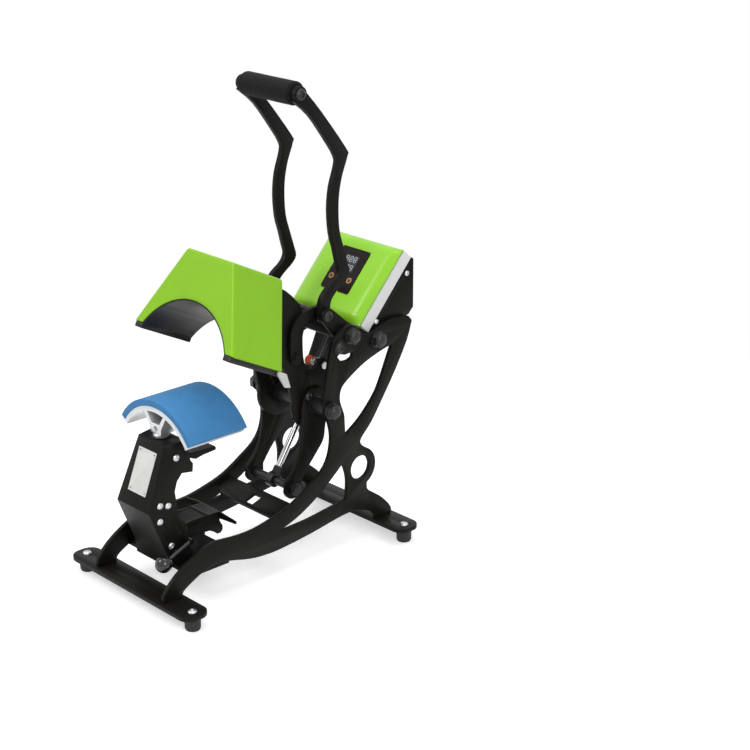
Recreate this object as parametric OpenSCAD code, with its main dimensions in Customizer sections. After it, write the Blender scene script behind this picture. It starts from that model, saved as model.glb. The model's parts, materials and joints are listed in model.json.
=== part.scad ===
// Cap heat press, auto-opening clamshell, shown open with its handle up.
// Millimetres. X runs left to right, the front faces -Y, Z is up from the table.
// Outlines of plates are given as [y, z] points, y counted from the front foot bar.

/* [Side plates] */
// Gap between the two side plates
plate_gap = 120; // [112:1:130]
// Thickness of each side plate
plate_t = 5; // [4:0.5:6]
// Radius of the ring hole in the rear leg
ring_hole_r = 15; // [10:0.5:18]

/* [Feet] */
// Length of each foot bar
bar_len = 226; // [210:1:250]
// Width of each foot bar
bar_w = 35; // [32:1:42]
// Thickness of each foot bar
bar_t = 5; // [4:0.5:7]
// Corner radius of a foot bar
bar_r = 14; // [6:0.5:15]
// Distance from a foot screw to the end of its bar
foot_inset = 13; // [10:0.5:20]
// Distance between the two foot bars
foot_span = 325; // [320:1:330]
// Height of a rubber foot
foot_h = 16; // [12:0.5:22]
// Radius of a rubber foot at its top
foot_r = 9.5; // [8:0.25:12]

/* [Cross plates] */
// Thickness of the base plate under the stand
base_t = 4; // [3:0.5:5]
// Length of the base plate, front to back
base_len = 84; // [80:1:88]
// Length of the mid cross plate, front to back
mid_len = 30; // [26:1:32]

/* [Stand] */
// Width of the folded stand
stand_w = 60; // [54:1:66]
// Sheet thickness of the stand
stand_t = 2; // [1.5:0.25:3]
// Height of the stand's top face above the table
stand_top = 187; // [184:0.5:190]

/* [Platen] */
// Outer radius of the silicone pad
pad_r = 77; // [74:0.5:78]
// Thickness of the silicone pad
pad_t = 8; // [6:0.5:9]
// Half of the pad's arc, in degrees
pad_half = 57.6; // [54:0.2:59]
// Length of the platen, front to back
platen_len = 80; // [74:1:84]
// Thickness of the aluminium arch
arch_t = 5.5; // [4.5:0.25:6.5]
// Height of the platen's curve centre above the table
platen_z = 154.4; // [152:0.2:156]
// Place of the platen's front face
platen_y = 34; // [30:1:38]
// Radius of the threaded post
post_r = 7; // [5:0.5:8]
// Travel of the platen on its threaded post
platen_travel = 20; // [14:1:20]

/* [Head] */
// Half width of the green cover at its bottom edge
head_half_low = 88; // [86:0.5:92]
// Half width of the green cover at its top edge
head_half_top = 41; // [38:0.5:46]
// Height of the green cover
head_h = 97; // [90:1:104]
// Depth of the green cover
head_len = 77; // [74:1:84]
// Sheet thickness of the green cover
head_t = 2; // [1.5:0.25:2.5]
// Tilt of the open head, in degrees
head_tilt = 26.5; // [24:0.5:28]
// Radius of the concave heating face
saddle_r = 84; // [80:0.5:88]
// Height of the heating face's crest above the cover's bottom edge
saddle_rise = 41; // [38:0.5:43]
// Thickness of the heating block
saddle_t = 9; // [7:0.5:10]
// Height of the feet of the heating block below the cover
saddle_foot = 6; // [4:0.5:7]

/* [Arms and linkage] */
// Thickness of a head arm plate
arm_t = 6; // [5:0.5:7]
// Distance from the middle to the inner face of a head arm plate
arm_x = 27; // [24:0.5:28]
// Thickness of a tail plate
tail_t = 5; // [4:0.5:6]
// Radius of the rounded end of a head arm around the main shaft
lobe_r = 31; // [26:0.5:34]
// Radius of the main shaft
main_r = 6; // [5:0.25:7]
// Radius of the handle shaft
grip_shaft_r = 6; // [5:0.25:7]
// Radius of the strut shaft
strut_shaft_r = 6; // [5:0.25:7]
// Radius of the tail shaft
tail_shaft_r = 5; // [4:0.25:6]
// Outer radius of the pivot tube between the head arms
pivot_tube_r = 11; // [9:0.5:12]
// Outer radius of the handle's cross tube
handle_tube_r = 9; // [8:0.25:10]
// How far the shaft ends stand out of the side plates
shaft_out = 12; // [10:0.5:14]
// Thickness of a toggle link
link_t = 6; // [5:0.5:7]
// Half width of a toggle link
link_r = 9; // [8:0.5:10]
// Radius of the pins at the ends of a toggle link
link_pin_r = 4; // [3:0.25:5]

/* [Gas strut] */
// Radius of the strut's cylinder
strut_cyl_r = 8; // [7:0.5:8.5]
// Length of the strut's cylinder
strut_cyl_len = 92; // [86:1:96]
// Radius of the chromed rod
strut_rod_r = 4; // [3:0.25:5]

/* [Handle] */
// Thickness of a handle arm
handle_t = 7; // [6:0.5:8]
// Distance from the middle to the inner face of a handle arm
handle_x = 43.5; // [43.5:0.25:44.5]
// Radius of the foam grip
grip_r = 13.5; // [12:0.5:16]
// Thickness of a crank plate
crank_t = 5; // [4:0.5:6]

/* [Controller] */
// Clearance between the controller box and each side plate
box_clear = 0.5; // [0.3:0.1:2]
// Sheet thickness of the controller box
box_t = 1.5; // [1:0.25:2.5]
// Width of the pale trim along each side of the cover
trim_w = 18; // [14:0.5:20]
// Crown of the green cover above its rim
crown_h = 6; // [5:0.5:8]
// Width of the dark panel
panel_w = 48; // [44:1:52]
// Length of the dark panel, up the slope
panel_len = 58; // [50:1:60]
// Radius of a touch button
button_r = 2.4; // [2.2:0.1:3]
// Travel of a touch button
button_travel = 1; // [0.5:0.1:1.5]

/* [Cap hold-down] */
// Radius of the black ball knob
ball_r = 10; // [8:0.5:11]
// Radius of the lever's rod
lever_r = 3; // [2.5:0.25:3.5]
// Half length of the hold-down bar
bail_half = 47; // [40:1:50]
// Height of the hold-down bar's strip
bail_h = 9; // [7:0.5:10]

/* [Fits] */
// Clearance of a shaft in its bore, on the radius
fit = 0.05; // [0.03:0.01:0.1]
// Clearance between faces of pieces that move past each other
gap = 0.4; // [0.3:0.05:0.5]

/* [Hidden] */
$fn = 48;

// Heights and places worked out from the sizes above
bar_top = foot_h + bar_t;
plate_in = plate_gap / 2;
plate_out = plate_in + plate_t;
main_axis = [239, 183];
handle_axis = [271, 268];
strut_axis = [313, 254];
tail_axis = [203, 86];
link_top = [245, 295];
link_low = [210.5, 249.2];
small_bolt = [251, 258];
adjuster_axis = [256, 227];
foot_pitch = bar_len - 2 * foot_inset;
box_rear = 378;
rear_fittings = 3;
mid_y = (box_rear + rear_fittings - bar_w / 2) / 2;
head_corner = [76.6, 295.9];
tail_x = arm_x + arm_t + 0.01;
saddle_c = saddle_rise - saddle_r;

// A point a quarter of the way through a smooth curve, from four of its points
function curve_point(a, b, c, d, t) =
    0.5 * (2 * b + (c - a) * t + (2 * a - 5 * b + 4 * c - d) * t * t + (3 * b - a - 3 * c + d) * t * t * t);

// A smooth curve through points p, with n steps between each two
function smooth(p, n = 3) = concat(
    [for (i = [0 : len(p) - 2]) for (k = [0 : n - 1])
        curve_point(p[max(i - 1, 0)], p[i], p[i + 1], p[min(i + 2, len(p) - 1)], k / n)],
    [p[len(p) - 1]]);

// The same points, run the other way round
function flip(p) = [for (i = [len(p) - 1 : -1 : 0]) p[i]];

// An arc about c from angle a0 to angle a1
function arc(c, r, a0, a1, n = 12) =
    [for (i = [0 : n]) c + r * [cos(a0 + (a1 - a0) * i / n), sin(a0 + (a1 - a0) * i / n)]];

module seat() translate([0, -mid_y, 0]) children();
module sheet(x0, t) translate([x0, 0, 0]) rotate([90, 0, 90]) linear_extrude(t) children();
module both_sides() { children(); mirror([1, 0, 0]) children(); }
module rod_x(p, x0, x1, r) translate([x0, p[0], p[1]]) rotate([0, 90, 0]) cylinder(r = r, h = x1 - x0);
module hex_x(p, x0, x1, across) translate([x0, p[0], p[1]]) rotate([0, 90, 0])
    cylinder(r = across / sqrt(3), h = x1 - x0, $fn = 6);
module in_head() translate([0, head_corner[0], head_corner[1]]) rotate([-head_tilt, 0, 0]) children();
module stadium(a, b, ra, rb) {
    d = b - a;
    n = [-d[1], d[0]] / norm(d);
    polygon([a - n * ra, b - n * rb, b + n * rb, a + n * ra]);
    translate(a) circle(ra);
    translate(b) circle(rb);
}

// The side plates: a front arch, a long sweep up to the top, a rail, a rear leg and a strut
leg_front = [[-12, bar_top], [-12, 28], [-7, 36], [3, 46], [16, 55], [33, 64], [50, 70], [68, 72]];
sweep_up = [[68, 72], [94, 69], [120, 69], [148, 74], [176, 82], [204, 97], [224, 110], [235, 126],
    [239, 148], [236, 166], [230, 184], [230, 205], [234, 228], [239, 252], [244, 268]];
plate_crown = [[244, 268], [254, 276], [266, 281], [277, 279], [287, 270], [300, 263], [317, 268],
    [332, 272.5], [350, 272.5], [366, 270]];
strut_back = [[371, 264], [363, 241], [344, 208], [325, 180], [304, 151], [287, 134], [288, 126], [297, 119]];
leg_back = [[297, 77], [297, 66], [308, 57], [320, 48], [331, 37], [337, 28], [337, bar_top]];
belly = [[311, bar_top], [309, 27], [298, 36], [280, 42], [262, 43], [236, 40], [209, 36], [169, 32],
    [142, 31], [113, 34], [82, 42], [62, 44], [44, 41], [28, 34], [16, 27], [14, bar_top]];
lower_gap = concat(smooth([[155, 54], [184, 63], [212, 77], [238, 95], [257, 110]]),
    smooth([[257, 110], [262, 97], [264, 84], [263, 66]]), smooth([[262, 62], [238, 59], [200, 55], [155, 54]]));
upper_gap = concat(smooth([[262, 145], [261, 161], [260, 173], [254, 190], [255, 204], [265, 214], [293, 229],
    [322, 238], [337, 241]]), smooth([[337, 239], [317, 196], [304, 178], [285, 160], [262, 145]]));
crescent = concat(smooth([[250, 247], [254, 249], [262, 246.5], [272, 247], [274, 245]]),
    smooth([[273, 241], [266, 238.5], [256, 240], [250, 247]]));
ring_centre = [285.5, 97];

module side_outline() {
    difference() {
        union() {
            polygon(flip(concat(smooth(leg_front), smooth(sweep_up), smooth(plate_crown), smooth(strut_back),
                [ring_centre], smooth(leg_back), smooth(belly))));
            translate(ring_centre) circle(25);
        }
        polygon(lower_gap);
        polygon(upper_gap);
        polygon(crescent);
    }
}
module side_plate(x0) difference() {
    sheet(x0, plate_t) side_outline();
    rod_x(ring_centre, x0 - 1, x0 + plate_t + 1, ring_hole_r);
    rod_x(main_axis, x0 - 1, x0 + plate_t + 1, main_r + fit);
    rod_x(handle_axis, x0 - 1, x0 + plate_t + 1, grip_shaft_r + fit);
    rod_x(strut_axis, x0 - 1, x0 + plate_t + 1, strut_shaft_r + fit);
    rod_x(small_bolt, x0 - 1, x0 + plate_t + 1, 3 + fit);
}
module side_plate_right() color("#201f1e") seat() side_plate(plate_in);
module side_plate_left() color("#201f1e") seat() side_plate(-plate_out);

// Foot bars, rubber feet and their screws
module foot_bar(y) translate([0, y, foot_h]) difference() {
    linear_extrude(bar_t) union() {
        square([bar_len - 2 * bar_r, bar_w], center = true);
        square([bar_len, bar_w - 2 * bar_r], center = true);
        for (x = [-1, 1], s = [-1, 1])
            translate([x * (bar_len / 2 - bar_r), s * (bar_w / 2 - bar_r)]) circle(bar_r);
    }
    for (x = [-1, 1]) translate([x * foot_pitch / 2, 0, -1]) cylinder(r = 3 + fit, h = bar_t + 2);
}
module front_foot_bar() color("#262524") seat() foot_bar(0);
module rear_foot_bar() color("#262524") seat() foot_bar(foot_span);
module at_feet() for (x = [-1, 1], y = [0, foot_span]) translate([x * foot_pitch / 2, y, 0]) children();
module rubber_feet() color("#161616") seat() at_feet() difference() {
    union() {
        cylinder(r1 = foot_r - 1.5, r2 = foot_r - 0.5, h = 2);
        translate([0, 0, 2]) cylinder(r1 = foot_r - 0.5, r2 = foot_r, h = foot_h - 2);
    }
    translate([0, 0, foot_h - 12]) cylinder(r = 3 + fit, h = 13);
    translate([0, 0, -1]) cylinder(r = foot_r - 4, h = 2.5);
}
module foot_screws() color("#c9cacb") seat() at_feet() {
    translate([0, 0, foot_h - 10]) cylinder(r = 3, h = bar_t + 10);
    translate([0, 0, bar_top]) button_head(5.2, 2.8);
}
module dome(r, h)
    rotate_extrude() polygon(concat([[0, 0], [r, 0]], [for (a = [15 : 15 : 75]) [r * cos(a), h * sin(a)]], [[0, h]]));
module button_head(r, h) difference() {
    dome(r, h);
    translate([0, 0, h - 1.4]) cylinder(r = r * 0.42, h = 2, $fn = 6);
}
module button_head_x(p, x, r, h) translate([x, p[0], p[1]]) rotate([0, 90, 0]) button_head(r, h);

// Base plate under the stand, and the mid cross plate
base_y = 31;
base_z = 37;
module base_plate() color("#232221") seat() difference() {
    translate([0, base_y, base_z]) linear_extrude(base_t) union() {
        translate([-plate_in, 0]) square([plate_gap, base_len - 30]);
        translate([-stand_w / 2 - 4, 0]) square([stand_w + 8, base_len - 9]);
        for (s = [-1, 1]) translate([s * (stand_w / 2 - 5), base_len - 9]) circle(9);
    }
    for (s = [-1, 1]) translate([s * (stand_w / 2 - 5), base_y + base_len - 9, base_z - 1])
        cylinder(r = 3.2, h = base_t + 2);
}
mid_low = [158, 64];
mid_slope = 18;
module mid_cross_plate() color("#2b2a29") seat() translate([0, mid_low[0], mid_low[1]]) rotate([mid_slope, 0, 0])
    linear_extrude(base_t) difference() {
        polygon([[15 - plate_in, 0], [plate_in, 0], [plate_in, mid_len], [-plate_in, mid_len], [-plate_in, 15]]);
        translate([-4, 5]) square([14, 16]);
    }

// The folded stand: a front face, a lower panel that slants back, two sides and an open back
stand_fold = [-1.4, 114];
stand_low = [19.5, 60];
stand_foot = [22, base_z + base_t];
stand_front = [19, stand_top];
stand_profile = [stand_front, stand_fold, stand_low, stand_foot, [58, base_z + base_t], [56, 62], [51, 84],
    [39, 98], [36, 125],
    [35, 131], [39, 143], [46, 150.5], [61, 148], [62, 158], [59, 162], [56, 170], [56, stand_top]];
stand_inner = [stand_front + [2.1, -stand_t], stand_fold + [2.1, -0.1], stand_low + [2.1, 0.4],
    stand_foot + [2.1, -1], [70, base_z + base_t - 1], [70, stand_top - stand_t]];
post_y = 42;
stand_bolts = [[39, 171], [14, 120], [25, 117], [13, 101], [27, 67]];
lever_axis = [44, 72];
module stand_shell() color("#262423") seat() difference() {
    sheet(-stand_w / 2, stand_w) polygon(stand_profile);
    sheet(-stand_w / 2 + stand_t, stand_w - 2 * stand_t) polygon(stand_inner);
    translate([0, post_y, stand_top - 10]) cylinder(r = post_r + fit, h = 20);
    for (p = stand_bolts) rod_x(p, -stand_w, stand_w, 2 + fit);
    rod_x(lever_axis, -stand_w, stand_w, lever_r + fit);
}
module stand_screws() color("#d4d5d6") seat() both_sides() for (p = stand_bolts) {
    rod_x(p, stand_w / 2 - stand_t - 4, stand_w / 2, 2);
    button_head_x(p, stand_w / 2, 4.2, 2.2);
}
plate_w = 32;
plate_h = 49;
plate_drop = 11;
stand_up = stand_front - stand_fold;
module stand_plate() color("#b9bbbd") seat() translate([0, stand_fold[0], stand_fold[1]])
    rotate([-atan2(stand_up[0], stand_up[1]), 0, 0])
    translate([2 - plate_w / 2, -0.6, norm(stand_up) - plate_drop - plate_h]) difference() {
        cube([plate_w, 0.6, plate_h]);
        for (x = [3, plate_w - 3], z = [3, plate_h - 3]) translate([x, 2, z]) rotate([90, 0, 0]) cylinder(r = 1, h = 4);
    }
bill_top = stand_top - stand_t - 1;
bill_path = [[54, bill_top], [64, 179.5], [80, 170], [98, 161.5], [108, 158.5], [118, 159]];
bill_w = 22;
module bill_support() color("#2a2928") seat() {
    sheet(-bill_w / 2, bill_w) polygon(flip(ribbon(concat([[50.5, bill_top]], smooth(bill_path)), 1)));
    translate([0, bill_path[5][0] - 1, bill_path[5][1]]) rotate([30, 0, 0]) cube([bill_w + 16, 8, 2], center = true);
}
ring_h = 6;
module post_ring() color("#8f9091") seat() translate([0, post_y, stand_top + gap]) difference() {
    union() {
        cylinder(r = 13.5, h = ring_h - 2 * gap - 2);
        translate([0, 0, ring_h - 2 * gap - 2]) cylinder(r1 = 13.5, r2 = 12, h = 2);
    }
    translate([0, 0, -1]) cylinder(r = post_r + fit, h = ring_h + 2);
}

// The platen: an aluminium arch on two webs and a foot block, with a silicone pad
arch_out = pad_r - pad_t;
arch_in = arch_out - arch_t;
block_low = stand_top + ring_h - platen_z;
block_w = 20;
block_h = 12;
function platen_end(r, s) = [s * r * sin(pad_half), r * cos(pad_half)];
module along_y(y0, len) translate([0, y0 + len, 0]) rotate([90, 0, 0]) linear_extrude(len) children();
module arch_band(r_out, r_in, half) intersection() {
    difference() { circle(r_out, $fn = 96); circle(r_in, $fn = 96); }
    polygon([[0, 0], [-r_out * 2 * sin(half), r_out * 2 * cos(half)], [-r_out, r_out * 2],
        [r_out, r_out * 2], [r_out * 2 * sin(half), r_out * 2 * cos(half)]]);
}
web_top = arch_in + 1;
web = [[block_w / 2 - 4, block_low + block_h - 2], [block_w / 2, block_low + block_h - 6],
    [20, web_top - 3.2], [15.5, web_top - 2]];
module platen_extrusion() color("#d9dadb") seat() translate([0, 0, platen_z]) along_y(platen_y, platen_len)
    difference() {
        union() {
            arch_band(arch_out, arch_in, pad_half);
            translate([-block_w / 2, block_low]) square([block_w, block_h]);
            polygon(web);
            polygon(flip([for (p = web) [-p[0], p[1]]]));
        }
        translate([0, block_low + 5.5]) circle(3.2);
    }
module silicone_pad() color("#3f82c0") seat() translate([0, 0, platen_z]) along_y(platen_y, platen_len)
    arch_band(pad_r, arch_out, pad_half);
post_len = 46;
module platen_post() color("#9fa1a3") seat() translate([0, post_y, stand_top + ring_h - post_len])
    cylinder(r = post_r, h = post_len);

// Shafts across the side plates, their spacers and nuts
module main_shaft() color("#9a9b9d") seat() rod_x(main_axis, -plate_out - shaft_out + 3, plate_out + shaft_out - 3, main_r);
tail_out = arm_x + arm_t + tail_t;
module collar_x(p, x0, x1, r_out, r_in) difference() {
    rod_x(p, x0, x1, r_out);
    rod_x(p, x0 - 1, x1 + 1, r_in);
}
module shaft_spacers() color("#3a3a3a") seat() both_sides() {
    collar_x(main_axis, tail_out + gap, plate_in, main_r + 3.5, main_r + fit);
    collar_x(strut_axis, strut_eye_half + gap, plate_in, strut_shaft_r + 3, strut_shaft_r + fit);
}
module shaft_nut(p, r, shaft) both_sides() difference() {
    union() {
        rod_x(p, plate_out, plate_out + 2, r + 1.5);
        hex_x(p, plate_out + 2, plate_out + shaft_out - 4.5, 2 * r);
        translate([plate_out + shaft_out - 4.5, p[0], p[1]]) rotate([0, 90, 0]) dome(r - 0.6, 4.5);
    }
    rod_x(p, plate_out - 1, plate_out + shaft_out - 3, shaft + fit);
}
module shaft_nuts() color("#2a2a2a") seat() {
    shaft_nut(main_axis, 8.5, main_r);
    shaft_nut(handle_axis, 8.5, grip_shaft_r);
    shaft_nut(strut_axis, 8.5, strut_shaft_r);
}
module handle_shaft() color("#9a9b9d") seat()
    rod_x(handle_axis, -plate_out - shaft_out + 3, plate_out + shaft_out - 3, grip_shaft_r);
module strut_shaft() color("#9a9b9d") seat()
    rod_x(strut_axis, -plate_out - shaft_out + 3, plate_out + shaft_out - 3, strut_shaft_r);
strut_eye_half = strut_cyl_r;
module plate_bolts() color("#3c3c3c") seat() both_sides() {
    rod_x(small_bolt, plate_in - 3, plate_out + 3, 3);
    rod_x(small_bolt, plate_out, plate_out + 2, 7.5);
    button_head_x(small_bolt, plate_out + 2, 6.5, 5);
}

// The head, drawn upright in its own frame: x across, y into the head, z up from its bottom edge
module trapezoid(low, top, h) polygon([[-low, 0], [low, 0], [top, h], [-top, h]]);
side_lean = (head_half_low - head_half_top) / head_h;
lip_t = 1.8;
module head_cover() color("#8ccf2e") seat() in_head() difference() {
    along_y(0, head_len) trapezoid(head_half_low, head_half_top, head_h);
    along_y(head_t, head_len) translate([0, -1])
        trapezoid(head_half_low - 2.3 + side_lean, head_half_top - 1 + side_lean, head_h - head_t + 1);
    translate([0, -1, saddle_c]) rotate([-90, 0, 0]) cylinder(r = saddle_r + lip_t + gap, h = head_t + 2, $fn = 120);
}
back_t = 4;
back_low = 6;
module head_back_plate() color("#232221") seat() in_head() difference() {
    along_y(head_len - back_t, back_t) translate([0, back_low])
        trapezoid(head_half_low - 3 - side_lean * back_low, head_half_top - 2.6, head_h - head_t - back_low - 0.4);
    translate([0, 0, saddle_c]) rotate([-90, 0, 0]) cylinder(r = saddle_r + saddle_t + gap, h = 200, $fn = 120);
}
foot_mid = 79.5;
foot_w = 13;
module band(r, t) intersection() {
    difference() {
        translate([0, saddle_c]) circle(r + t, $fn = 120);
        translate([0, saddle_c]) circle(r, $fn = 120);
    }
    translate([-120, -saddle_foot - 1]) square([240, 80]);
}
module heater_saddle() color("#2c2c2c") seat() in_head() {
    along_y(head_t + gap, head_len - head_t - gap) band(saddle_r, saddle_t);
    along_y(gap, head_len - gap) band(saddle_r, lip_t);
    along_y(gap, head_len - gap) for (s = [-1, 1])
        translate([s * foot_mid - foot_w / 2, -saddle_foot - 1]) square([foot_w, saddle_foot + 0.6]);
}
tab_x = foot_mid + foot_w / 2;
module heat_shield_tab() color("#dcdcd8") seat() in_head()
    sheet(tab_x, 3) polygon(flip([[head_len - 4, -5], [head_len - 4, -0.8], [head_len + 7.5, -1],
        [head_len + 20, -14], [head_len + 13, -16]]));

// Head arms: from the back of the head down to the rounded lobe on the main shaft
function head_point(d, u) = head_corner + d * [cos(head_tilt), -sin(head_tilt)] + u * [sin(head_tilt), cos(head_tilt)];
arm_outline = concat([head_point(head_len, 58), head_point(head_len, 88)],
    smooth([[200, 331], [215, 317], [225, 300], [224, 262], [226, 242], [231, 229], [240, 225], [247, 228],
        [252, 233.5], [258, 234.5], [263, 231], [265.5, 223], [266, 213], [267, 200]]),
    arc(main_axis, lobe_r, 15, -195, 28),
    smooth([[204, 214], [196, 236], [184, 256], [172, 282]]));
module arm_plate(x0) difference() {
    sheet(x0, arm_t) polygon(arm_outline);
    rod_x(main_axis, x0 - 1, x0 + arm_t + 1, pivot_tube_r + fit);
    for (p = arm_holes) rod_x(p, x0 - 1, x0 + arm_t + 1, 3 + fit);
}
arm_holes = [[252, 172], [228, 196]];
module arm_plate_right() color("#1f1e1d") seat() difference() {
    arm_plate(arm_x);
    rod_x(adjuster_axis, arm_x - 1, arm_x + arm_t + 1, 3 + fit);
}
module arm_plate_left() color("#1f1e1d") seat() arm_plate(-arm_x - arm_t);
tail_outline = concat(arc(main_axis, 21, 150, 0, 14),
    smooth([[258, 172], [254, 152], [251, 136], [241, 123], [228, 109], [216, 93]]),
    arc(tail_axis, 13, 10, -170, 12),
    smooth([[192, 96], [207, 112], [216, 135], [217, 158], [218, 183]]));
module tail_plates() color("#222120") seat() both_sides() difference() {
    sheet(tail_x, tail_t - 0.01) polygon(tail_outline);
    rod_x(main_axis, tail_x - 1, tail_x + tail_t + 1, pivot_tube_r + fit);
    rod_x(tail_axis, tail_x - 1, tail_x + tail_t + 1, tail_shaft_r + fit);
    for (p = arm_holes) rod_x(p, tail_x - 1, tail_x + tail_t + 1, 3 + fit);
}
module pivot_tube() color("#2a2a2a") seat()
    collar_x(main_axis, -tail_out, tail_out, pivot_tube_r, main_r + fit);
module tail_shaft() color("#6e6f70") seat() {
    rod_x(tail_axis, -tail_out - 6, tail_out + 6, tail_shaft_r);
    both_sides() hex_x(tail_axis, tail_out, tail_out + 5, 15);
}
module arm_bolts() color("#3c3c3c") seat() both_sides() for (p = arm_holes) {
    rod_x(p, arm_x - 2, tail_out, 3);
    button_head_x(p, tail_out, 5, 3);
}

// The fluted adjuster on the right head arm, with its orange cap
knob_len = 8.5;
cap_r = 5;
cap_len = 7;
knob_x = arm_x - 4 - knob_len;
module adjuster_knob() color("#c9cacb") seat() {
    rod_x(adjuster_axis, knob_x + 1, arm_x + arm_t + 2, 3);
    hex_x(adjuster_axis, arm_x + arm_t + gap, arm_x + arm_t + 3, 8);
    difference() {
        translate([knob_x, adjuster_axis[0], adjuster_axis[1]]) rotate([0, 90, 0]) cylinder(r1 = 5, r2 = 6.5, h = knob_len);
        for (k = [0 : 7]) translate([knob_x - 1, adjuster_axis[0], adjuster_axis[1]]) rotate([k * 45, 0, 0])
            translate([0, 0, 6.9]) rotate([0, 90, 0]) cylinder(r = 1.6, h = knob_len + 2, $fn = 16);
    }
}
module adjuster_cap() color("#c8562a") seat() translate([knob_x, adjuster_axis[0], adjuster_axis[1]])
    rotate([0, -90, 0]) rotate_extrude() polygon(concat([[0, 0], [cap_r, 0], [cap_r, cap_len - 3]],
        [for (a = [15 : 15 : 75]) [cap_r * cos(a), cap_len - 3 + 3 * sin(a)]], [[0, cap_len]]));

// Toggle links between the handle and the head arms
link_in = arm_x + arm_t + gap;
link_out = link_in + link_t;
link_rear = [link_low + [link_r, 0], link_low + [8.6, 13], link_low + [9, 25], [224, 284], [234, 287.5],
    link_top - [0, link_r]];
link_front = [link_top + [0, link_r], [229, 303], [212, 296], [203, 284], link_low + [-9.5, 19], link_low - [link_r, 0]];
module toggle_links() color("#262524") seat() both_sides() {
    difference() {
        sheet(link_in, link_t) union() {
            polygon(flip(concat(smooth(link_rear), smooth(link_front))));
            translate(link_top) circle(link_r);
            translate(link_low) circle(link_r);
        }
        rod_x(link_top, link_in - 1, link_out + 1, link_pin_r + fit);
    }
    rod_x(link_low, link_out, link_out + 1.5, link_pin_r + 3);
    hex_x(link_low, link_out + 1.5, link_out + 3, 9);
}

// The gas strut: cylinder on the strut shaft, chromed rod down to the tail shaft
strut_dir = (strut_axis - tail_axis) / norm(strut_axis - tail_axis);
strut_len = norm(strut_axis - tail_axis);
strut_angle = atan2(strut_dir[1], strut_dir[0]);
module along_strut(s) translate([0, tail_axis[0] + s * strut_dir[0], tail_axis[1] + s * strut_dir[1]])
    rotate([strut_angle - 90, 0, 0]) children();
eye_r = 9;
module eye(r, hole, half) rotate([0, 90, 0]) translate([0, 0, -half]) difference() {
    cylinder(r = r, h = 2 * half);
    translate([0, 0, -1]) cylinder(r = hole, h = 2 * half + 2);
}
cyl_top = strut_len - eye_r + 1.5;
module strut_cylinder() color("#1a1a1a") seat() {
    difference() {
        union() {
            along_strut(cyl_top - strut_cyl_len) cylinder(r = strut_cyl_r, h = strut_cyl_len);
            along_strut(strut_len) eye(eye_r, strut_shaft_r - 1, strut_eye_half);
        }
        along_strut(strut_len) eye(strut_shaft_r + fit, 0.01, strut_eye_half + 1);
        along_strut(strut_len) rotate([0, 90, 0]) translate([0, 0, -20]) cylinder(r = strut_shaft_r + fit, h = 40);
        along_strut(cyl_top - strut_cyl_len - 1) cylinder(r = strut_rod_r + fit, h = strut_cyl_len - 14);
    }
}
module strut_rod() color("#d8d9db") seat() {
    difference() {
        union() {
            along_strut(0) cylinder(r = strut_rod_r, h = cyl_top - strut_cyl_len + 36);
            along_strut(7) cylinder(r = 5.5, h = 10, $fn = 6);
            along_strut(0) eye(eye_r, tail_shaft_r - 1, 5);
        }
        along_strut(0) rotate([0, 90, 0]) translate([0, 0, -20]) cylinder(r = tail_shaft_r + 2, h = 40);
    }
}

// The handle: two flat curved arms, a foam grip, crank plates and the cross tube
grip_axis = [212, 556];
handle_end_r = 9;
handle_rear = [[219, 559], [243, 532], [279, 486], [281, 477], [273, 457], [268, 437], [266.5, 416], [268, 392],
    [274, 371], [280, 352], [283, 339], [276, 330], [263, 321], [254, 311], [252, 300]];
handle_front = [[236, 298], [239, 314], [248, 325], [261, 334], [267, 344], [264, 357], [260, 373], [255, 391],
    [253, 418], [256, 444], [264, 468], [263, 479], [249, 500], [226, 530], [203, 549]];
function side_step(p, i) = let (d = p[min(i + 1, len(p) - 1)] - p[max(i - 1, 0)]) [-d[1], d[0]] / norm(d);
function ribbon(p, w) = concat([for (i = [0 : len(p) - 1]) p[i] + side_step(p, i) * w],
    [for (i = [len(p) - 1 : -1 : 0]) p[i] - side_step(p, i) * w]);
module handle_arm(x0) difference() {
    sheet(x0, handle_t) union() {
        polygon(flip(concat(smooth(handle_rear), smooth(handle_front))));
        translate(grip_axis) circle(handle_end_r);
        translate(link_top) circle(handle_end_r);
    }
    rod_x(link_top, x0 - 1, x0 + handle_t + 1, link_pin_r + fit);
    rod_x(grip_axis, x0 - 1, x0 + handle_t + 1, 4 + fit);
}
module handle_arm_right() color("#262625") seat() handle_arm(handle_x);
module handle_arm_left() color("#262625") seat() handle_arm(-handle_x - handle_t);
arm_outer = handle_x + handle_t;
module foam_grip() color("#1c1c1c") seat() difference() {
    rod_x(grip_axis, -handle_x, handle_x, grip_r);
    rod_x(grip_axis, -handle_x - 1, handle_x + 1, 8 + fit);
}
module grip_rod() color("#4a4a4a") seat() difference() {
    rod_x(grip_axis, -handle_x, handle_x, 8);
    both_sides() rod_x(grip_axis, handle_x - 20, handle_x + 1, 4 + fit);
}
module grip_bolts() color("#303030") seat() both_sides() {
    rod_x(grip_axis, handle_x - 18, arm_outer, 4);
    button_head_x(grip_axis, arm_outer, 7, 4);
}
crank_in = arm_outer + 0.01;
crank_out = crank_in + crank_t;
module crank_plates() color("#242322") seat() both_sides() difference() {
    sheet(crank_in, crank_t) stadium(link_top, handle_axis, 9.5, 13);
    rod_x(link_top, crank_in - 1, crank_out + 1, link_pin_r + fit);
    rod_x(handle_axis, crank_in - 1, crank_out + 1, handle_tube_r + fit);
}
module handle_tube() color("#2a2a29") seat()
    collar_x(handle_axis, -crank_out, crank_out, handle_tube_r, grip_shaft_r + fit);
module link_shaft() color("#8d8e90") seat() {
    rod_x(link_top, -crank_out, crank_out, link_pin_r);
    both_sides() button_head_x(link_top, crank_out, 6.5, 2.6);
}

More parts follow.
